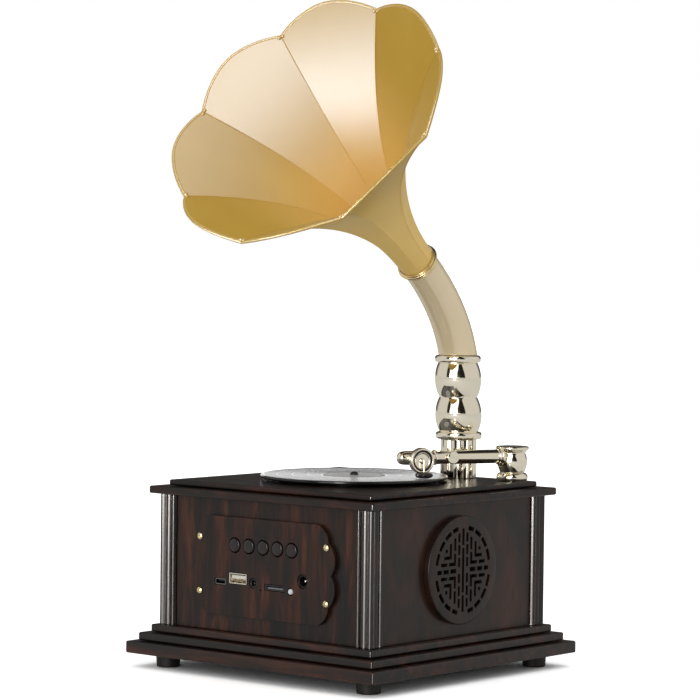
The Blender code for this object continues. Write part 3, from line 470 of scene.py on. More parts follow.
def sheet_of(outline, holes, bottom, top):
    """A flat plate in XY with holes, between two heights."""
    bm = bmesh.new()
    for points in [outline, *holes]:
        verts = [bm.verts.new((x, y, bottom)) for x, y in points]
        for pair in zip(verts, verts[1:] + verts[:1]):
            bm.edges.new(pair)
    bmesh.ops.triangle_fill(bm, use_beauty=True, use_dissolve=False, edges=bm.edges[:])
    bmesh.ops.dissolve_limit(bm, angle_limit=0.01, verts=bm.verts, edges=bm.edges)
    grown = bmesh.ops.extrude_face_region(bm, geom=bm.faces[:])
    raised = [v for v in grown["geom"] if isinstance(v, bmesh.types.BMVert)]
    bmesh.ops.translate(bm, vec=(0.0, 0.0, top - bottom), verts=raised)
    return bm


def eased(bm, edges, width, segments):
    """Rounds some edges of a drawing."""
    bmesh.ops.bevel(bm, geom=edges, offset=width, segments=segments, profile=0.5, affect="EDGES")
    return bm


def box(low, high):
    bm = bmesh.new()
    bmesh.ops.create_cube(bm, size=1.0)
    size = Vector(high) - Vector(low)
    bmesh.ops.scale(bm, vec=size, verts=bm.verts)
    bmesh.ops.translate(bm, vec=(Vector(low) + Vector(high)) / 2, verts=bm.verts)
    return bm


def merged(*drawings):
    """Several drawings as one."""
    bm = bmesh.new()
    for drawing in drawings:
        mesh = meshed("part", drawing)
        bm.from_mesh(mesh)
        bpy.data.meshes.remove(mesh)
    return bm


def moved(bm, matrix):
    bm.transform(matrix)
    return bm


def tube(path, outline, ups):
    """Sweeps an outline of (side, up) points along a path, with its up directions given."""
    bm = bmesh.new()
    rings = []
    last = len(path) - 1
    for i, (spot, up) in enumerate(zip(path, ups)):
        ahead = (path[min(i + 1, last)] - path[max(i - 1, 0)]).normalized()
        side = ahead.cross(up).normalized()
        rise = side.cross(ahead)
        shape = outline(i / last) if callable(outline) else outline
        rings.append([bm.verts.new(spot + side * a + rise * b) for a, b in shape])
    skin(bm, rings)
    bm.faces.new(rings[0])
    bm.faces.new(rings[-1])
    return bm


def leaf(points, half, thick, up):
    """A bent leaf of sheet metal along a line of points."""
    outline = [(-half, -thick), (half, -thick), (half, thick), (-half, thick)]
    return tube([Vector(point) for point in points], outline, [Vector(up)] * len(points))


def ball(centre, radius):
    bm = bmesh.new()
    bmesh.ops.create_icosphere(bm, subdivisions=3, radius=radius)
    bmesh.ops.translate(bm, vec=centre, verts=bm.verts)
    return bm


# ---- case


def height_range(node):
    low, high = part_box(node)
    return low.z * 1000.0, high.z * 1000.0


def half_width(node):
    low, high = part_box(node)
    return (high.x - low.x) * 500.0


def make_boards():
    """Plinth and lid boards with rounded edges and corners."""
    boards = ("plinth_lower", "plinth_middle", "plinth_upper", "lid_lower", "lid_upper")
    for node in boards:
        finish = WOOD_LID if node.startswith("lid") else WOOD_BOARD
        low, high = height_range(node)
        half = half_width(node)
        bm = box((-half, -half, low), (half, half, high))
        eased(bm, bm.edges[:], 1.0, 5)
        level_normals(piece(f"{node}_board", bm, BASE, "case", finish, [node], 180.0))


def make_feet():
    profile = [(0.0, 0.0), (6.7, 0.0, 1.1), (7.1, 7.7), (0.0, 7.7)]
    for number in range(1, 5):
        node = f"foot_{number}"
        drawing, spot = turned(profile, 6, 48), upright(middle(node))
        made = piece(f"round_foot_{number}", drawing, spot, "case", RUBBER, [node], 60.0)
        level_normals(made)


def reed(start, width, floor, crown, steps=12):
    return [
        (start + width * k / steps, floor + (crown - floor) * sin(pi * k / steps) ** 0.8)
        for k in range(steps + 1)
    ]


def make_posts():
    """Corner posts with two reeds on each face and a bead at the corner."""
    inner, outer, bead_radius = 68.0, 79.5, 1.35
    floor = outer - 1.8
    slim, wide = reed(inner + 0.4, 2.4, floor, outer - 0.3), reed(inner + 3.4, 4.6, floor, outer)
    face = [(inner, floor), *slim, *wide]
    bead = arc((outer - bead_radius, outer - bead_radius), bead_radius, 122.0, -32.0, 14)
    outline = [(inner, inner), *face, *bead, *[(y, x) for x, y in reversed(face)]]
    low, high = height_range("corner_post_1")
    for number in range(1, 5):
        node = f"corner_post_{number}"
        bm = sheet_of(outline, [], low, high)
        turn = Matrix.Rotation(-pi / 2 * number, 4, "Z")
        piece(f"reeded_post_{number}", bm, BASE @ turn, "case", WOOD_POST, [node], 50.0)


def make_panels():
    repaint("front_panel", WOOD_FRONT)
    for side in ("rear", "right", "left"):
        repaint(f"{side}_panel", WOOD_SIDE)


def repaint(node, finish):
    mesh = frame["nodes"][node].data
    mesh.materials.clear()
    mesh.materials.append(finish)


# ---- controls

PLATE_FRONT = -79.5
PLATE_BACK = -77.3
MOUTH_DEPTH = 8.0
MID_HEIGHT = 62.4
BUTTON_Z = 74.6
BUTTON_XS = [0.6 + 10.7 * k for k in (-2, -1, 0, 1, 2)]
SCREWS = ((-47.4, 78.0), (47.4, 78.0), (47.4, 46.8), (-47.4, 46.8))
USB = (-17.9, 55.8)
MICRO = (-31.8, 53.2)
AUX = (-6.7, 54.1)
RESET = (-1.1, 50.5)
CARD = (9.4, 52.6)
LIGHT = (21.3, 51.5)
POWER = (30.2, 58.0)


def front(x, z, out=0.0):
    """A frame on the control plate's face: X to the right, Y up, Z towards the viewer."""
    return BASE @ at(x, PLATE_FRONT - out, z) @ FRONT


def circle_arc(start, mid, end, steps):
    """The circular arc from start to end by way of mid."""
    ax, ay, bx, by, cx, cy = *start, *mid, *end
    d = 2 * (ax * (by - cy) + bx * (cy - ay) + cx * (ay - by))
    sa, sb, sc = ax * ax + ay * ay, bx * bx + by * by, cx * cx + cy * cy
    x = (sa * (by - cy) + sb * (cy - ay) + sc * (ay - by)) / d
    y = (sa * (cx - bx) + sb * (ax - cx) + sc * (bx - ax)) / d
    first = atan2(ay - y, ax - x)
    turn = (atan2(cy - y, cx - x) - first) % tau
    if (atan2(by - y, bx - x) - first) % tau > turn:
        turn -= tau
    radius = hypot(ax - x, ay - y)
    angles = [first + turn * k / steps for k in range(steps + 1)]
    return [(x + radius * cos(a), y + radius * sin(a)) for a in angles]


def plate_outline():
    """The control plate's edge about its middle, with scalloped ends."""
    corner = circle_arc((41.0, 28.0), (46.3, 24.3), (48.8, 17.9), 10)
    lobe = circle_arc((48.8, 17.9), (53.5, 8.6), (50.8, 0.0), 14)
    quarter = corner + lobe[1:]
    right = quarter + [(x, -y) for x, y in reversed(quarter[:-1])]
    return right + [(-x, y) for x, y in reversed(right)]


def bar_mark(x):
    """A tiny plain bar above the buttons."""
    return box((x - 0.45, BUTTON_Z + 6.0, 0.02), (x + 0.45, BUTTON_Z + 6.6, 0.06))


def make_plate():
    """The scalloped plate with its openings, and three plain bars above each of three buttons."""
    def down(spot):
        return (spot[0], spot[1] - MID_HEIGHT)

    holes = [circle((x, BUTTON_Z - MID_HEIGHT), 4.5) for x in BUTTON_XS]
    holes += [circle(down(spot), 1.4, 24) for spot in SCREWS]
    holes += [rectangle(down(USB), (13.7, 6.5), 0.6), rectangle(down(MICRO), (8.7, 4.2), 1.2)]
    holes += [rectangle(down(CARD), (15.3, 3.7), 0.6), circle(down(AUX), 2.95), circle(down(RESET), 0.55, 16)]
    holes += [circle(down(LIGHT), 2.2, 32), circle(down(POWER), 4.0)]
    bm = sheet_of(plate_outline(), holes, PLATE_FRONT - PLATE_BACK, 0.0)
    place = front(0.0, MID_HEIGHT)
    made = piece("scalloped_plate", bm, place, "case", WOOD_PLATE, ["control_plate"], 30.0)
    soften(made, 0.35, 3, 50.0)
    for number, x in enumerate(BUTTON_XS[2:], start=3):
        marks = [bar_mark(x + 1.5 * k) for k in (-1, 0, 1)]
        piece(f"engraved_mark_{number}", merged(*marks), front(0.0, 0.0), "case", ENGRAVED)


def make_screws():
    """Brass domes, each with a cross cut into it."""
    profile = [
        (0.0, -1.6), (1.1, -1.6), (1.1, 0.3), (2.0, 0.3, 0.1), (2.0, 0.6, 0.5), (0.9, 1.35, 0.9), (0.0, 1.4),
    ]
    arm, half, floor = 1.1, 0.22, 0.8
    for number, (x, z) in enumerate(SCREWS, start=1):
        node, place = f"plate_screw_{number}", front(x, z)
        drawing = turned(profile, 5, 40)
        made = piece(f"domed_screw_{number}", drawing, place, "case", BRASS, [node])
        place = place @ Matrix.Rotation(radians(20.0 * number), 4, "Z")
        for side, up in ((arm, half), (half, arm)):
            carve(made, moved(box((-side, -up, floor), (side, up, 2.5)), place))


def make_buttons():
    """Glossy domed caps, each with a hidden flange and a stem."""
    profile = [
        (0.0, -9.5), (2.0, -9.5), (2.0, -3.4), (4.9, -3.4), (4.9, -2.6), (3.95, -2.6),
        (3.95, 0.5, 0.9), (2.6, 0.95, 1.2), (0.0, 1.0),
    ]
    for number, x in enumerate(BUTTON_XS, start=1):
        node, drawing = f"button_{number}", turned(profile, 6, 64)
        piece(f"push_{node}", drawing, front(x, BUTTON_Z), node, BUTTON, [node])


def socket_back():
    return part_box("usb_socket")[1].y * 1000.0 - BASE.translation.y * 1000.0


def shell(name, node, spot, size, wall, rounding, out, finish):
    """A rectangular socket shell with its mouth."""
    place, depth = front(*spot, out), socket_back() - (PLATE_FRONT - out)
    body = sheet_of(rectangle((0.0, 0.0), size, rounding), [], -depth, 0.0)
    made = piece(name, body, place, "case", finish, [node], 30.0)
    inside = (size[0] - 2 * wall[0], size[1] - 2 * wall[1])
    mouth = rectangle((0.0, 0.0), inside, max(0.1, rounding - wall[0]))
    carve(made, moved(sheet_of(mouth, [], -MOUTH_DEPTH, 2.0), place))
    made.data.materials.clear()
    made.data.materials.append(finish)


def make_usb():
    """The USB-A socket, with its tongue, contacts and springs."""
    place, metal = front(*USB, 0.3), "socket_metal"
    shell("usb_shell", "usb_socket", USB, (13.1, 5.9), (0.4, 0.4), 0.5, 0.3, STEEL)
    tongue = box((-5.5, -0.1, -8.3), (5.5, 1.75, -1.0))
    piece("usb_tongue", tongue, place, "case", WHITE_PLASTIC)
    strips = [box((x - 0.5, -0.25, -7.5), (x + 0.5, -0.12, -1.3)) for x in (-3.6, -1.2, 1.2, 3.6)]
    piece("usb_contacts", merged(*strips), place, "case", CONTACT)
    bend = ((-2.5, -7.0), (-2.1, -4.5), (-1.75, -3.0), (-2.1, -1.8), (-2.5, -1.2))
    springs = [leaf([(x, y, z) for y, z in bend], 0.9, 0.1, (0, 1, 0)) for x in (-3.2, 3.2)]
    piece("usb_springs", merged(*springs), place, "case", STEEL)


def make_slots():
    """The micro-USB and memory-card sockets."""
    # the micro-USB shell takes the metal that is painted dark for shade
    shell("micro_usb_shell", "micro_usb_socket", MICRO, (8.1, 3.6), (0.6, 0.7), 0.9, -0.5, SHADE_DARKENED_METAL)
    tongue = box((-2.6, 0.1, -8.2), (2.6, 0.75, -1.2))
    piece("micro_usb_tongue", tongue, front(*MICRO, -0.5), "case", BLACK_PLASTIC)
    shell("card_frame", "card_socket", CARD, (14.7, 3.1), (1.3, 0.7), 0.4, -0.3, BLACK_PLASTIC)
    strip = box((-5.8, -0.75, -8.2), (5.8, 0.15, -0.6))
    piece("card_strip", strip, front(*CARD, -0.3), "case", GREY_PLASTIC)


def make_round_sockets():
    """The line socket, the power socket and the status light."""
    place = front(*AUX, -0.3)
    ring = [(0.0, -8.6), (1.75, -8.6), (1.75, -0.3, 0.2), (2.65, 0.0, 0.3), (2.65, -10.5), (0.0, -10.5)]
    piece("aux_ring", turned(ring, 4, 48), place, "case", BLACK_GLOSS, ["aux_socket"])
    spring = rounded([(1.5, -4.2), (1.2, -3.4, 0.4), (1.5, -2.6), (1.74, -2.6), (1.74, -4.2)], 0.1, 4, True)
    # the line socket's contact takes the metal that is painted dark for shade
    piece("aux_contact", lathe(spring, 24, True), place, "case", SHADE_DARKENED_METAL)
    place = front(*POWER, -0.5)
    ring = [(0.0, -10.1), (3.7, -10.1), (3.7, 0.0, 0.4), (2.9, 0.0, 0.3), (2.9, -8.0), (0.0, -8.0)]
    piece("power_ring", turned(ring, 5, 56), place, "case", BLACK_GLOSS, ["power_socket"])
    pin = [(0.0, -8.2), (0.9, -8.2), (0.9, -1.8, 0.7), (0.0, -1.5)]
    piece("power_pin", turned(pin, 5, 24), place, "case", STEEL)
    bend = ((2.65, 0.0, -7.0), (2.3, 0.0, -4.0), (2.0, 0.0, -2.2), (2.55, 0.0, -1.0))
    piece("power_leaf", leaf(bend, 0.7, 0.12, (1, 0, 0)), place, "case", STEEL)
    dome = [(0.0, -10.0), (1.6, -10.0), (1.6, 0.0, 0.3), (1.1, 0.75, 0.8), (0.0, 0.85)]
    piece("light_lens", turned(dome, 6, 40), front(*LIGHT), "case", LIGHT_DOME, ["status_light"])
    repaint("circuit_board", BOARD_GREEN)


# ---- side grilles

FRET_RADIUS = 25.3
GRILLE_RADIUS = 30.8
GRILLE_THICKNESS = 3.7


def oblong(x0, x1, y0, y1):
    return rounded([(x0, y0), (x1, y0), (x1, y1), (x0, y1)], 0.18, 2, True)


def elbow_slot(x, y, across, up, width=1.9):
    right, top, inner_x, inner_y = x + across, y + up, x + width, y + width
    outline = [(x, y), (right, y), (right, inner_y), (inner_x, inner_y), (inner_x, top), (x, top)]
    return rounded(outline, 0.18, 2, True)


def rim_slot(start, end):
    inner = FRET_RADIUS - 2.4
    return arc((0.0, 0.0), FRET_RADIUS, start, end, 8) + arc((0.0, 0.0), inner, end, start, 8)


def fret_slots():
    """The openings of a plain geometric fret: one quarter four times, and a cross between."""
    quarter = [oblong(2.7, 4.6, low, high) for low, high in ((1.9, 7.2), (8.8, 14.4), (16.0, 21.0))]
    quarter += [elbow_slot(6.4, 3.0, 6.4, 6.8), elbow_slot(10.3, 6.8, 6.9, 8.8)]
    quarter += [oblong(6.4, 8.3, 11.4, 18.4), oblong(14.0, 16.0, 10.6, 12.6), oblong(14.4, 20.0, 3.0, 4.9)]
    quarter += [rim_slot(start, end) for start, end in ((10, 26), (30, 45), (49, 63), (67, 79))]
    slots = []
    for x, y in ((1, 1), (-1, 1), (-1, -1), (1, -1)):
        slots += [[(x * px, y * py) for px, py in points] for points in quarter]
    slots += [oblong(-1.0, 1.0, low, high) for low, high in ((-23.6, -14.2), (-12.6, 12.6), (14.2, 23.6))]
    for side in (1, -1):
        for near, far in ((6.2, 11.4), (13.0, 17.6), (19.2, 23.2)):
            slots.append(oblong(*sorted((side * near, side * far)), -1.2, 1.2))
    return slots


def face_edge(fret):
    """The outer edge of a fret's face."""
    reach, height = GRILLE_RADIUS - 0.1, GRILLE_THICKNESS - 0.1
    return [e for e in fret.edges if all(v.co.z > height and v.co.xy.length > reach for v in e.verts)]


def make_grilles():
    """A pierced disc standing proud of each side, with dark cloth stretched behind it."""
    for word, side in (("right", 1), ("left", -1)):
        node = f"fret_grille_{word}"
        low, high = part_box(node)
        inner_x = (low.x if side > 0 else high.x) * 1000.0 - BASE.translation.x * 1000.0
        turn = Matrix.Rotation(side * pi / 2, 4, "Z") @ FRONT
        turn = at(inner_x, 0.0, MID_HEIGHT) @ turn
        fret = sheet_of(circle((0.0, 0.0), GRILLE_RADIUS, 128), fret_slots(), 0.0, GRILLE_THICKNESS)
        eased(fret, face_edge(fret), 0.9, 5)
        made = piece(f"pierced_fret_{word}", fret, BASE @ turn, "case", WOOD_FRET, [node], 30.0)
        soften(made, 0.14, 2, 50.0)
        behind = lathe([(0.0, -0.22), (27.0, -0.22), (27.0, -0.08), (0.0, -0.08)], 64)
        made = piece(f"speaker_cloth_{word}", behind, BASE @ turn, "case", CLOTH)
        repaint(f"driver_{word}", BLACK_PLASTIC)


# ---- record

RECORD_TOP = 111.7


def make_record():
    """The pressed disc with its label, and the platter with the spindle below."""
    bore, gloss = 2.7, "black_gloss"
    disc = [
        (bore, 109.7), (53.0, 109.7), (54.5, 110.2, 0.5), (54.5, 111.5, 0.5), (53.4, 112.0, 0.5),
        (52.6, RECORD_TOP, 0.4), (19.2, RECORD_TOP), (18.8, RECORD_TOP - 0.15), (bore, RECORD_TOP - 0.15),
    ]
    piece("pressed_record", turned(disc, 5, 160, True), BASE, "record", VINYL, ["record_disc"])
    label = [(bore, 111.56), (18.0, 111.56), (18.0, 111.72, 0.1), (bore, 111.72)]
    piece("record_label", turned(label, 3, 96, True), BASE, "record", LABEL)
    ring = [(14.0, 111.7), (14.5, 111.7), (14.5, 111.76), (14.0, 111.76)]
    piece("record_label_ring", turned(ring, 2, 96, True), BASE, "record", BLACK_GLOSS)
    platter = [
        (0.0, 102.5), (2.4, 102.5), (2.4, 108.8), (43.0, 108.8), (43.0, 109.4), (2.4, 109.4),
        (2.4, 112.6, 0.8), (1.4, 113.5, 0.8), (0.0, 113.6),
    ]
    drawing = turned(platter, 4, 96)
    piece("turntable_platter", drawing, BASE, "record", BLACK_PLASTIC, ["platter"])


# ---- tonearm

SOUNDBOX_REACH = 61.0 - ARM_PIN_REACH
SOUNDBOX_DROP = -1.3


def make_tonearm():
    """The bead at the base, the vase that turns on it, and the tube with the tongue of the lift joint."""
    base = [
        (0.0, 101.0), (2.4, 101.0), (2.4, 108.8), (8.7, 108.8, 0.4), (9.4, 110.9, 2.2), (8.3, 113.1, 1.4),
        (7.4, 113.1), (2.4, 113.1), (2.4, 118.5), (0.0, 118.5),
    ]
    gilded("arm_base_bead", turned(base, 8, 72), ARM, "case", "tonearm_base")
    pivot = [
        (0.0, 118.8), (2.7, 118.8), (2.7, 113.4), (7.1, 113.4, 0.3), (7.4, 114.2, 0.6), (8.7, 118.0, 3.0),
        (8.7, 121.8, 3.0), (7.6, 124.9, 1.2), (8.0, 125.9, 0.8), (9.6, 127.1, 0.5), (9.6, 128.5, 0.5),
        (8.6, 128.8, 0.3), (0.0, 128.8),
    ]
    vase = gilded("arm_vase", turned(pivot, 8, 72), ARM, "tonearm", "tonearm_pivot")
    arm = ARM @ at(0.0, 0.0, ARM_HEIGHT)
    seat = lathe([(0.0, 6.7), (6.2, 6.7), (6.2, 13.0), (0.0, 13.0)], 48)
    carve(vase, moved(seat, arm @ ALONG_X))
    shade(vase.data)
    line = [
        (0.0, 7.0), (5.9, 7.0, 0.2), (5.9, 8.4, 0.6), (4.7, 8.9, 0.3), (4.7, 9.9, 0.5), (4.0, 10.3, 0.2),
        (4.0, 37.3, 0.4), (0.0, 37.3),
    ]
    tongue = box((35.0, -1.2, -2.8), (44.5, 1.2, 2.8))
    eased(tongue, tongue.edges[:], 0.4, 3)
    drawing = merged(moved(turned(line, 5, 64), ALONG_X), tongue)
    gilded("arm_tube", drawing, arm, "tonearm", "tonearm_tube")


def make_head():
    """The arm's lifting front section on its cross pin."""
    length, reach = 73.4 - ARM_PIN_REACH, SOUNDBOX_REACH
    pin = [(0.0, -5.2), (1.5, -5.2, 0.4), (1.5, 4.4), (3.7, 4.4, 0.3), (3.7, 5.3, 0.5), (0.0, 5.8)]
    gilded("arm_cross_pin", moved(turned(pin, 6, 56), ALONG_Y), HEAD, "head", "tonearm_pin")
    line = [
        (0.0, -2.8), (2.2, -2.6, 1.0), (3.4, 0.0, 1.0), (4.0, 2.0), (4.0, 9.0), (4.4, 9.2, 0.2),
        (4.4, 10.2, 0.2), (4.0, 10.4), (3.4, 11.0, 0.3), (3.4, 13.6, 0.3), (4.1, 14.4, 0.4),
        (4.1, length - 5.0, 2.0), (3.6, length - 1.4, 2.0), (1.8, length - 0.1, 1.4), (0.0, length),
    ]
    made = gilded("arm_head", moved(turned(line, 7, 64), ALONG_X), HEAD, "head", "tonearm_head")
    fork = box((-6.5, -1.5, -6.0), (6.5, 1.5, 6.0))
    flat = box((reach - 8.0, 3.6, -6.0), (reach + 8.0, 8.0, 6.0))
    for cut in (fork, flat):
        carve(made, moved(cut, HEAD))
    shade(made.data)


def make_soundbox():
    """The round box with its gasket, and the needle bar down to its dark foot."""
    place = HEAD @ at(SOUNDBOX_REACH, 0.0, SOUNDBOX_DROP) @ ALONG_Y
    case = [
        (0.0, 3.9), (6.9, 3.9, 0.3), (7.5, 4.7, 0.5), (7.5, 7.6, 0.5), (7.1, 8.4, 0.5), (6.1, 8.4, 0.4),
        (5.8, 7.5, 0.3), (5.1, 7.5, 0.3), (4.9, 7.9, 0.2), (4.5, 7.9, 0.2), (4.2, 7.4, 0.4),
        (1.6, 7.2, 0.6), (1.1, 7.8, 0.4), (0.0, 7.9),
    ]
    gilded("soundbox_case", turned(case, 6, 80), place, "head", "soundbox")
    gasket = turned([(4.9, 7.3), (5.9, 7.3), (5.9, 8.0, 0.3), (4.9, 8.0, 0.3)], 4, 80, True)
    piece("soundbox_gasket", gasket, place, "head", BLACK_PLASTIC)
    foot = RECORD_TOP + 0.3 - (ARM_HEIGHT + SOUNDBOX_DROP)
    bar = [(0.0, 1.2), (0.32, 0.9, 0.2), (0.42, -3.0), (0.75, -7.5), (1.0, foot + 3.0), (0.0, foot + 3.0)]
    layers = (
        (0.0, 3.0, 0.2), (0.4, 4.2, 0.45), (1.6, 4.7, 0.6), (2.6, 4.2, 0.5), (3.2, 2.8, 0.2), (3.5, 1.2, 0.0),
    )
    bar_side = 9.7
    place = HEAD @ at(SOUNDBOX_REACH, bar_side, SOUNDBOX_DROP)
    gilded("needle_bar", turned(bar, 4, 32), place, "head", "needle")
    piece("needle_foot", lobed(layers, foot, 9), place, "head", BLACK_GLOSS)


def lobed(layers, bottom, lobes, segments=90):
    """A knob whose edge swells into lobes, from layers of (height, radius, swell)."""
    bm = bmesh.new()
    rings = [[bm.verts.new((0.0, 0.0, bottom + layers[0][0]))]]
    for height, radius, swell in layers:
        ring = []
        for k in range(segments):
            angle = tau * k / segments
            reach = radius + swell * cos(lobes * angle)
            ring.append(bm.verts.new((reach * cos(angle), reach * sin(angle), bottom + height)))
        rings.append(ring)
    rings.append([bm.verts.new((0.0, 0.0, bottom + layers[-1][0]))])
    skin(bm, rings)
    return bm


# ---- horn

NECK_RADIUS = 10.6
BELL_LENGTH = 128.5
SEAM_RADIUS = 82.0
FLARE = 2.2
PETALS = 8
OVERHANG = 0.059
ROUNDNESS = 1.8
SEAM_TWIST = radians(-7.0)
WALL = 0.9
FLUTES = 16


def make_column():
    """The fluted column with the spigot that the horn turns on."""
    outer = [
        (7.0, 96.5), (7.0, 108.8), (10.65, 108.8, 0.3), (10.65, 131.3, 0.4), (8.0, 131.3), (8.0, 139.0),
        (2.5, 139.0), (2.5, 96.5),
    ]
    bm = turned(outer, 4, FLUTES * 12, True)
    for vert in bm.verts:
        radius = hypot(vert.co.x, vert.co.y)
        if radius > 9.0:
            angle = atan2(vert.co.y, vert.co.x)
            depth = 0.75 * abs(sin(FLUTES * angle / 2)) ** 0.8
            vert.co.xy *= (radius - depth) / radius
    gilded("fluted_column", bm, upright(joint_place("horn_swivel")), "case", "column", 30.0)


def bulb(low, high, ends, crown, steps=18):
    line = circle_arc((low, ends[0]), ((low + high) / 2, crown), (high, ends[1]), steps)
    return [(radius, height) for height, radius in line]


def make_ferrule():
    """Two bulbs between two rings, leaning a little towards the bell."""
    low, top, ring = 131.6, 180.9, 4.2
    lower, upper, waist = low + ring, top - ring, (low + top) / 2
    foot = [
        (8.3, low), (12.6, low, 0.5), (13.6, low + 0.4, 1.6), (13.6, lower - 0.5, 1.6), (12.0, lower, 0.3),
        (11.5, lower + 0.2),
    ]
    head = [
        (11.6, upper - 0.2), (12.0, upper, 0.3), (13.6, upper + 0.4, 1.6), (13.6, top - 0.7, 1.6),
        (12.4, top, 0.5), (11.7, top, 0.2), (11.6, top - 0.8), (9.2, top - 0.8), (9.2, 140.0), (8.3, 140.0),
        (8.3, low),
    ]
    line = rounded(foot, 0.0, 7)
    line += bulb(lower + 0.2, waist - 0.1, (11.5, 11.2), 13.7)
    line += bulb(waist + 0.1, upper - 0.2, (11.2, 11.6), 13.7)
    line += rounded(head, 0.0, 7)[:-1]
    bm = lathe(line, 112, True)
    for vert in bm.verts:
        if hypot(vert.co.x, vert.co.y) > 8.6:
            vert.co.x += 2.0 * (vert.co.z - low) / (top - low)
    gilded("double_bulb_ferrule", bm, HORN, "horn", "ferrule", 45.0)
    repaint("horn_driver", BLACK_PLASTIC)


def elbow_line(share):
    """A place on the elbow's middle line, and the way ahead there."""
    a, b, c, d = (Vector((x, 0.0, z)) for x, z in ELBOW_PATH)
    rest = 1 - share
    place = a * rest**3 + b * 3 * rest**2 * share + c * 3 * rest * share**2 + d * share**3
    ahead = (b - a) * rest**2 + (c - b) * 2 * rest * share + (d - c) * share**2
    return place, ahead.normalized()


def make_elbow():
    """A curved tube with level foot, tapering to the bell's neck."""
    steps, segments, foot_radius, wall = 44, 72, 11.3, 1.2
    bm = bmesh.new()
    walls = []
    for inset in (0.0, wall):
        rings = []
        for i in range(steps + 1):
            share = i / steps
            spot, ahead = elbow_line(share)
            side = Vector((0.0, 1.0, 0.0))
            rise = ahead.cross(side)
            radius = foot_radius + (NECK_RADIUS - foot_radius) * share - inset
            ring = []
            for k in range(segments):
                angle = tau * k / segments
                point = spot + radius * (cos(angle) * side + sin(angle) * rise)
                if point.z < ELBOW_PATH[0][1] or i == 0:
                    point += ahead * ((ELBOW_PATH[0][1] + 0.02 * i - point.z) / ahead.z)
                ring.append(bm.verts.new(point))
            rings.append(ring)
        skin(bm, rings)
        walls.append(rings)
    band(bm, walls[0][0], walls[1][0])
    band(bm, walls[0][-1], walls[1][-1])
    piece("curved_elbow", bm, HORN, "horn", CHAMPAGNE, ["elbow"], 50.0)


def make_collar():
    line = [
        (10.9, -2.2), (11.7, -2.2, 0.3), (11.9, -1.5, 0.4), (11.3, -1.2, 0.2), (11.5, -0.9, 0.2),
        (12.5, -0.6, 0.7), (12.5, 0.7, 0.7), (11.5, 1.0, 0.2), (11.3, 1.3, 0.2), (12.0, 1.6, 0.4),
        (11.8, 2.3, 0.3), (11.0, 2.3),
    ]
    drawing = turned(line, 6, 96, True)
    piece("ringed_collar", drawing, BELL, "horn", COLLAR_GOLD, ["collar"], 45.0)


def flare(share):
    return NECK_RADIUS + (SEAM_RADIUS - NECK_RADIUS) * max(share, 0.0) ** FLARE


def petal_point(share, across, depth=0.0):
    """A point on a petal centred on +X; across runs from -1 to 1 between its seams."""
    half = pi / PETALS
    reach = share * (1 + OVERHANG * (1 - abs(across) ** ROUNDNESS))
    radius = flare(reach)
    angle = across * (half - 0.1 / radius)
    flatness = min(1.0, reach / 0.3)
    radius *= 1 - flatness + flatness * cos(half) / cos(angle)
    slope = (flare(reach + 0.01) - flare(reach)) / (0.01 * BELL_LENGTH)
    length = hypot(slope, 1.0)
    along = 0.3 + reach * BELL_LENGTH + depth * slope / length
    radius -= depth / length
    return Vector((radius * cos(angle), radius * sin(angle), along))


def outward(share, across):
    """The direction away from the bell's inside at a point of a petal."""
    return (petal_point(share, across, -1.0) - petal_point(share, across, 1.0)).normalized()


def petal_sheet():
    """One petal: an outer and an inner skin, closed along all four edges."""
    rows, columns = 44, 16
    acrosses = [2 * j / columns - 1 for j in range(columns + 1)]
    bm = bmesh.new()
    sides = []
    for depth in (0.0, WALL):
        grid = []
        for i in range(rows + 1):
            share = (i / rows) ** 0.8
            grid.append([bm.verts.new(petal_point(share, across, depth)) for across in acrosses])
        sides.append(grid)
    for grid in sides:
        for i in range(rows):
            for j in range(columns):
                bm.faces.new((grid[i][j], grid[i][j + 1], grid[i + 1][j + 1], grid[i + 1][j]))
    outer, inner = sides
    for row in (0, rows):
        for j in range(columns):
            bm.faces.new((outer[row][j], outer[row][j + 1], inner[row][j + 1], inner[row][j]))
    for column in (0, columns):
        for i in range(rows):
            bm.faces.new((outer[i][column], outer[i + 1][column], inner[i + 1][column], inner[i][column]))
    return bm


def oval(side, up, count=14):
    angles = [tau * k / count for k in range(count)]
    return [(side * cos(a), up * sin(a)) for a in angles]


def petal_rim():
    """The petal's rolled edge, with a small bead at each end."""
    spots, ups = [], []
    steps = 40
    for k in range(steps + 1):
        across = -1.0 + 2.0 * k / steps
        spots.append(petal_point(0.9955, across, 0.15))
        ups.append(outward(1.0, across))
    beads = [ball(petal_point(0.992, across, 0.75), 1.2) for across in (-0.967, 0.967)]
    return merged(tube(spots, oval(1.0, 1.0), ups), *beads)


def seam_rib():
    """A slim folded rib that covers the seam between two petals, inside and out."""
    spots, ups = [], []
    steps = 40
    for k in range(steps + 1):
        share = 0.015 + 0.975 * k / steps
        spots.append(petal_point(share, 1.0, WALL / 2))
        ups.append(outward(share, 1.0))
    return tube(spots, lambda t: oval(0.34 + 0.12 * t, 0.72 + 0.08 * t), ups)


def make_bell():
    step = tau / PETALS
    for number in range(1, PETALS + 1):
        turn = BELL @ Matrix.Rotation(SEAM_TWIST + step * (number - 0.5), 4, "Z")
        for name, drawing, nodes, angle in (
            (f"bell_petal_{number}", petal_sheet(), [f"petal_{number}"], 50.0),
            (f"petal_rim_{number}", petal_rim(), (), 60.0),
            (f"seam_rib_{number}", seam_rib(), (), 60.0),
        ):
            piece(name, drawing, turn, "horn", SATIN_GOLD, nodes, angle)


# ---- studio


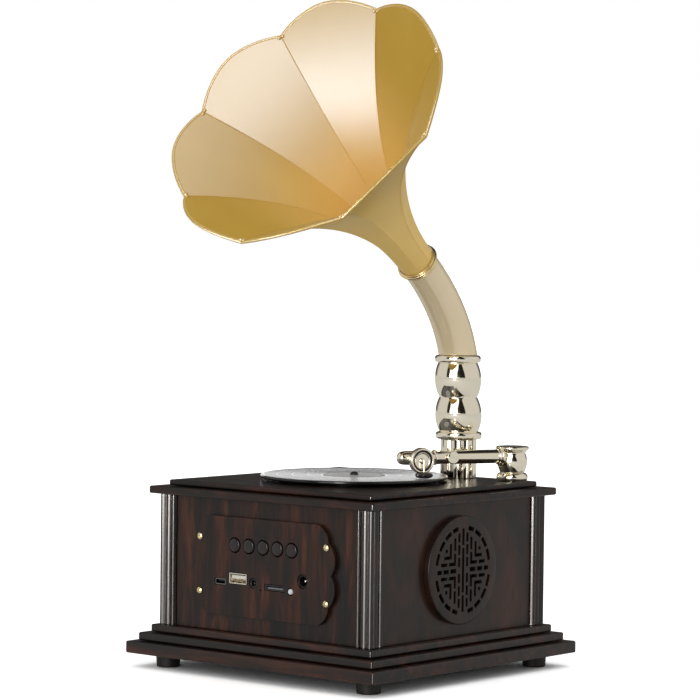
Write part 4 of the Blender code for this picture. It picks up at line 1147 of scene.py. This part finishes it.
def make_floor():
    """A pale floor that burns out to white in the picture and stays quieter in reflections."""
    finish = Finish("studio_floor")
    rays = finish.node("LightPath").outputs["Is Camera Ray"]
    mottle = finish.noise(finish.place(), 3.0, 2.0)
    quiet = finish.mixed(mottle, (0.62, 0.62, 0.61), (0.64, 0.64, 0.63))
    finish.set(Base_Color=finish.mixed(rays, quiet, (1.60, 1.60, 1.60)), Roughness=0.9)
    finish.set(Specular_IOR_Level=0.0)
    bm = bmesh.new()
    bmesh.ops.create_grid(bm, x_segments=1, y_segments=1, size=30.0)
    mesh = meshed("studio_floor", bm)
    mesh.materials.append(finish.material)
    floor = put("studio_floor", mesh)


def make_world():
    """White all round to the eye and for soft light; reflections also find a dark ceiling and dark gaps."""
    world = bpy.data.worlds.new("studio")
    bpy.context.scene.world = world
    world.use_nodes = True
    made = Tree(world.node_tree)
    node, calc, ranged = made.node, made.math, made.ranged
    x, y, z = node("SeparateXYZ", {0: node("TexCoord").outputs["Generated"]}).outputs
    bearing = calc("ARCTAN2", x, calc("MULTIPLY", y, -1.0))

    def away(degrees):
        """How far a direction lies from a bearing, in radians."""
        return calc("ABSOLUTE", calc("SUBTRACT", bearing, radians(degrees)))

    ceiling = ranged(z, 0.70, 0.90, 1.0, 0.03)
    front_light = ranged(z, 0.10, 0.22, 5.0, 1.5)
    wall = ranged(away(20.0), radians(23.0), radians(29.0), front_light, 0.62)
    behind = calc("ARCCOSINE", calc("COSINE", calc("ADD", bearing, radians(140.0))))
    wall = calc("MULTIPLY", wall, ranged(behind, 0.55, 1.05, 0.12, 1.0))
    half_gap = ranged(z, 0.0, 0.8, radians(20.0), radians(8.0))
    wide_gap = ranged(calc("SUBTRACT", away(53.0), half_gap), 0.0, 0.05, 0.02, 1.0)
    slim_gap = ranged(away(-12.5), 0.13, 0.17, 0.04, 1.0)
    above = ranged(z, -0.02, 0.02)
    gaps = calc("MULTIPLY", calc("MULTIPLY", wide_gap, slim_gap), above)
    gaps = calc("ADD", gaps, calc("SUBTRACT", 1.0, above))
    mirrored = calc("MULTIPLY", calc("MULTIPLY", ceiling, gaps), wall)
    rays = node("LightPath").outputs
    soft_light = ranged(z, 0.0, 0.9, 0.48, 1.05)
    soft_light = node("Mix", {0: rays["Is Camera Ray"], 2: soft_light, 3: 1.0}).outputs[0]
    soft = node("Background", {"Color": (1.0, 1.0, 1.0, 1.0), "Strength": soft_light}).outputs[0]
    mirror = node("Background", {"Color": (1.0, 0.98, 0.95, 1.0), "Strength": mirrored}).outputs[0]
    both = node("MixShader", {0: rays["Is Glossy Ray"], 1: soft, 2: mirror}).outputs[0]
    made.feed(made.tree.nodes["World Output"].inputs["Surface"], both)


def direction(azimuth, elevation):
    """The way out from the object at a bearing from -Y towards +X and an elevation, in radians."""
    level = cos(elevation)
    return Vector((level * sin(azimuth), -level * cos(azimuth), sin(elevation)))


def make_card(name, aim, bearing, elevation, distance, size, radiance, pieces=(), colour=(1.0, 1.0, 1.0)):
    """A soft card facing a point, placed by its bearing and elevation from there in degrees."""
    data = bpy.data.lights.new(name, "AREA")
    data.shape = "RECTANGLE"
    data.size, data.size_y = size
    data.energy = radiance * pi * size[0] * size[1]
    data.color = colour
    card = put(name, data)
    towards = direction(radians(bearing), radians(elevation))
    card.location = Vector(aim) + distance * towards
    card.rotation_euler = (-towards).to_track_quat("-Z", "Y").to_euler()
    card.visible_camera = False
    if pieces:
        card.visible_diffuse = False
        lit = bpy.data.collections.new(f"lit_by_{name}")
        for made in pieces:
            lit.objects.link(made)
        card.light_linking.receiver_collection = lit


def named(*starts):
    return [made for made in bpy.context.scene.objects if made.name.startswith(starts)]


def make_cards():
    """One soft key, and cards that draw the highlights on the bell and along the wood's edges."""
    make_card("key_softbox", (0.0, 0.0, 0.18), 22.0, 11.0, 1.6, (0.30, 1.0), 7.0)
    sheets, rims = named("bell_petal", "seam_rib"), named("petal_rim")
    mouth = (0.0, -0.05, 0.30)
    cool = (0.92, 1.0, 1.14)
    bell_cards = (
        ("low_front_card", 5, -16.0, -20.0, 0.45, (0.36, 0.28), 48.0),
        ("upper_front_card", 6, 37.0, 26.0, 1.0, (0.50, 0.50), 52.0),
        ("top_card", 7, 80.0, 80.0, 1.0, (0.60, 0.60), 12.0),
    )
    for name, petal, bearing, elevation, distance, size, radiance in bell_cards:
        lit = rims + [made for made in sheets if made.name.endswith(str(petal))]
        make_card(name, mouth, bearing, elevation, distance, size, radiance, lit, cool)
    record = named("pressed_record", "record_label")
    make_card("rear_card", (0.0, 0.02, 0.11), -140.0, 7.0, 1.2, (1.2, 0.36), 1.25, record)
    edges, warm = named("reeded_post", "plinth", "lid"), (1.0, 0.93, 0.89)
    make_card("edge_card", (0.0, 0.0, 0.052), 20.0, 0.0, 1.7, (0.80, 0.104), 190.0, edges, warm)


def make_camera():
    azimuth, elevation, roll = radians(40.135), radians(1.9407), radians(0.667)
    back = direction(azimuth, elevation)
    level = Vector((cos(azimuth), sin(azimuth), 0.0))
    up = back.cross(level)
    right = cos(roll) * level + sin(roll) * up
    top = cos(roll) * up - sin(roll) * level
    data = bpy.data.cameras.new("camera")
    data.sensor_width = 36.0
    data.lens = 153.93
    data.clip_end = 100.0
    camera = put("camera", data)
    place = BASE.translation + Vector((1.1157, -1.3284, 0.2429))
    turn = Matrix((right, top, back)).transposed().to_4x4()
    camera.matrix_world = Matrix.Translation(place) @ turn
    bpy.context.scene.camera = camera


def main():
    make_camera()
    make_boards()
    make_feet()
    make_posts()
    make_panels()
    make_plate()
    make_screws()
    make_buttons()
    make_usb()
    make_slots()
    make_round_sockets()
    make_grilles()
    make_record()
    make_tonearm()
    make_head()
    make_soundbox()
    make_column()
    make_ferrule()
    make_elbow()
    make_collar()
    make_bell()
    make_floor()
    make_world()
    make_cards()
    bpy.context.scene.view_settings.view_transform = "Standard"


main()
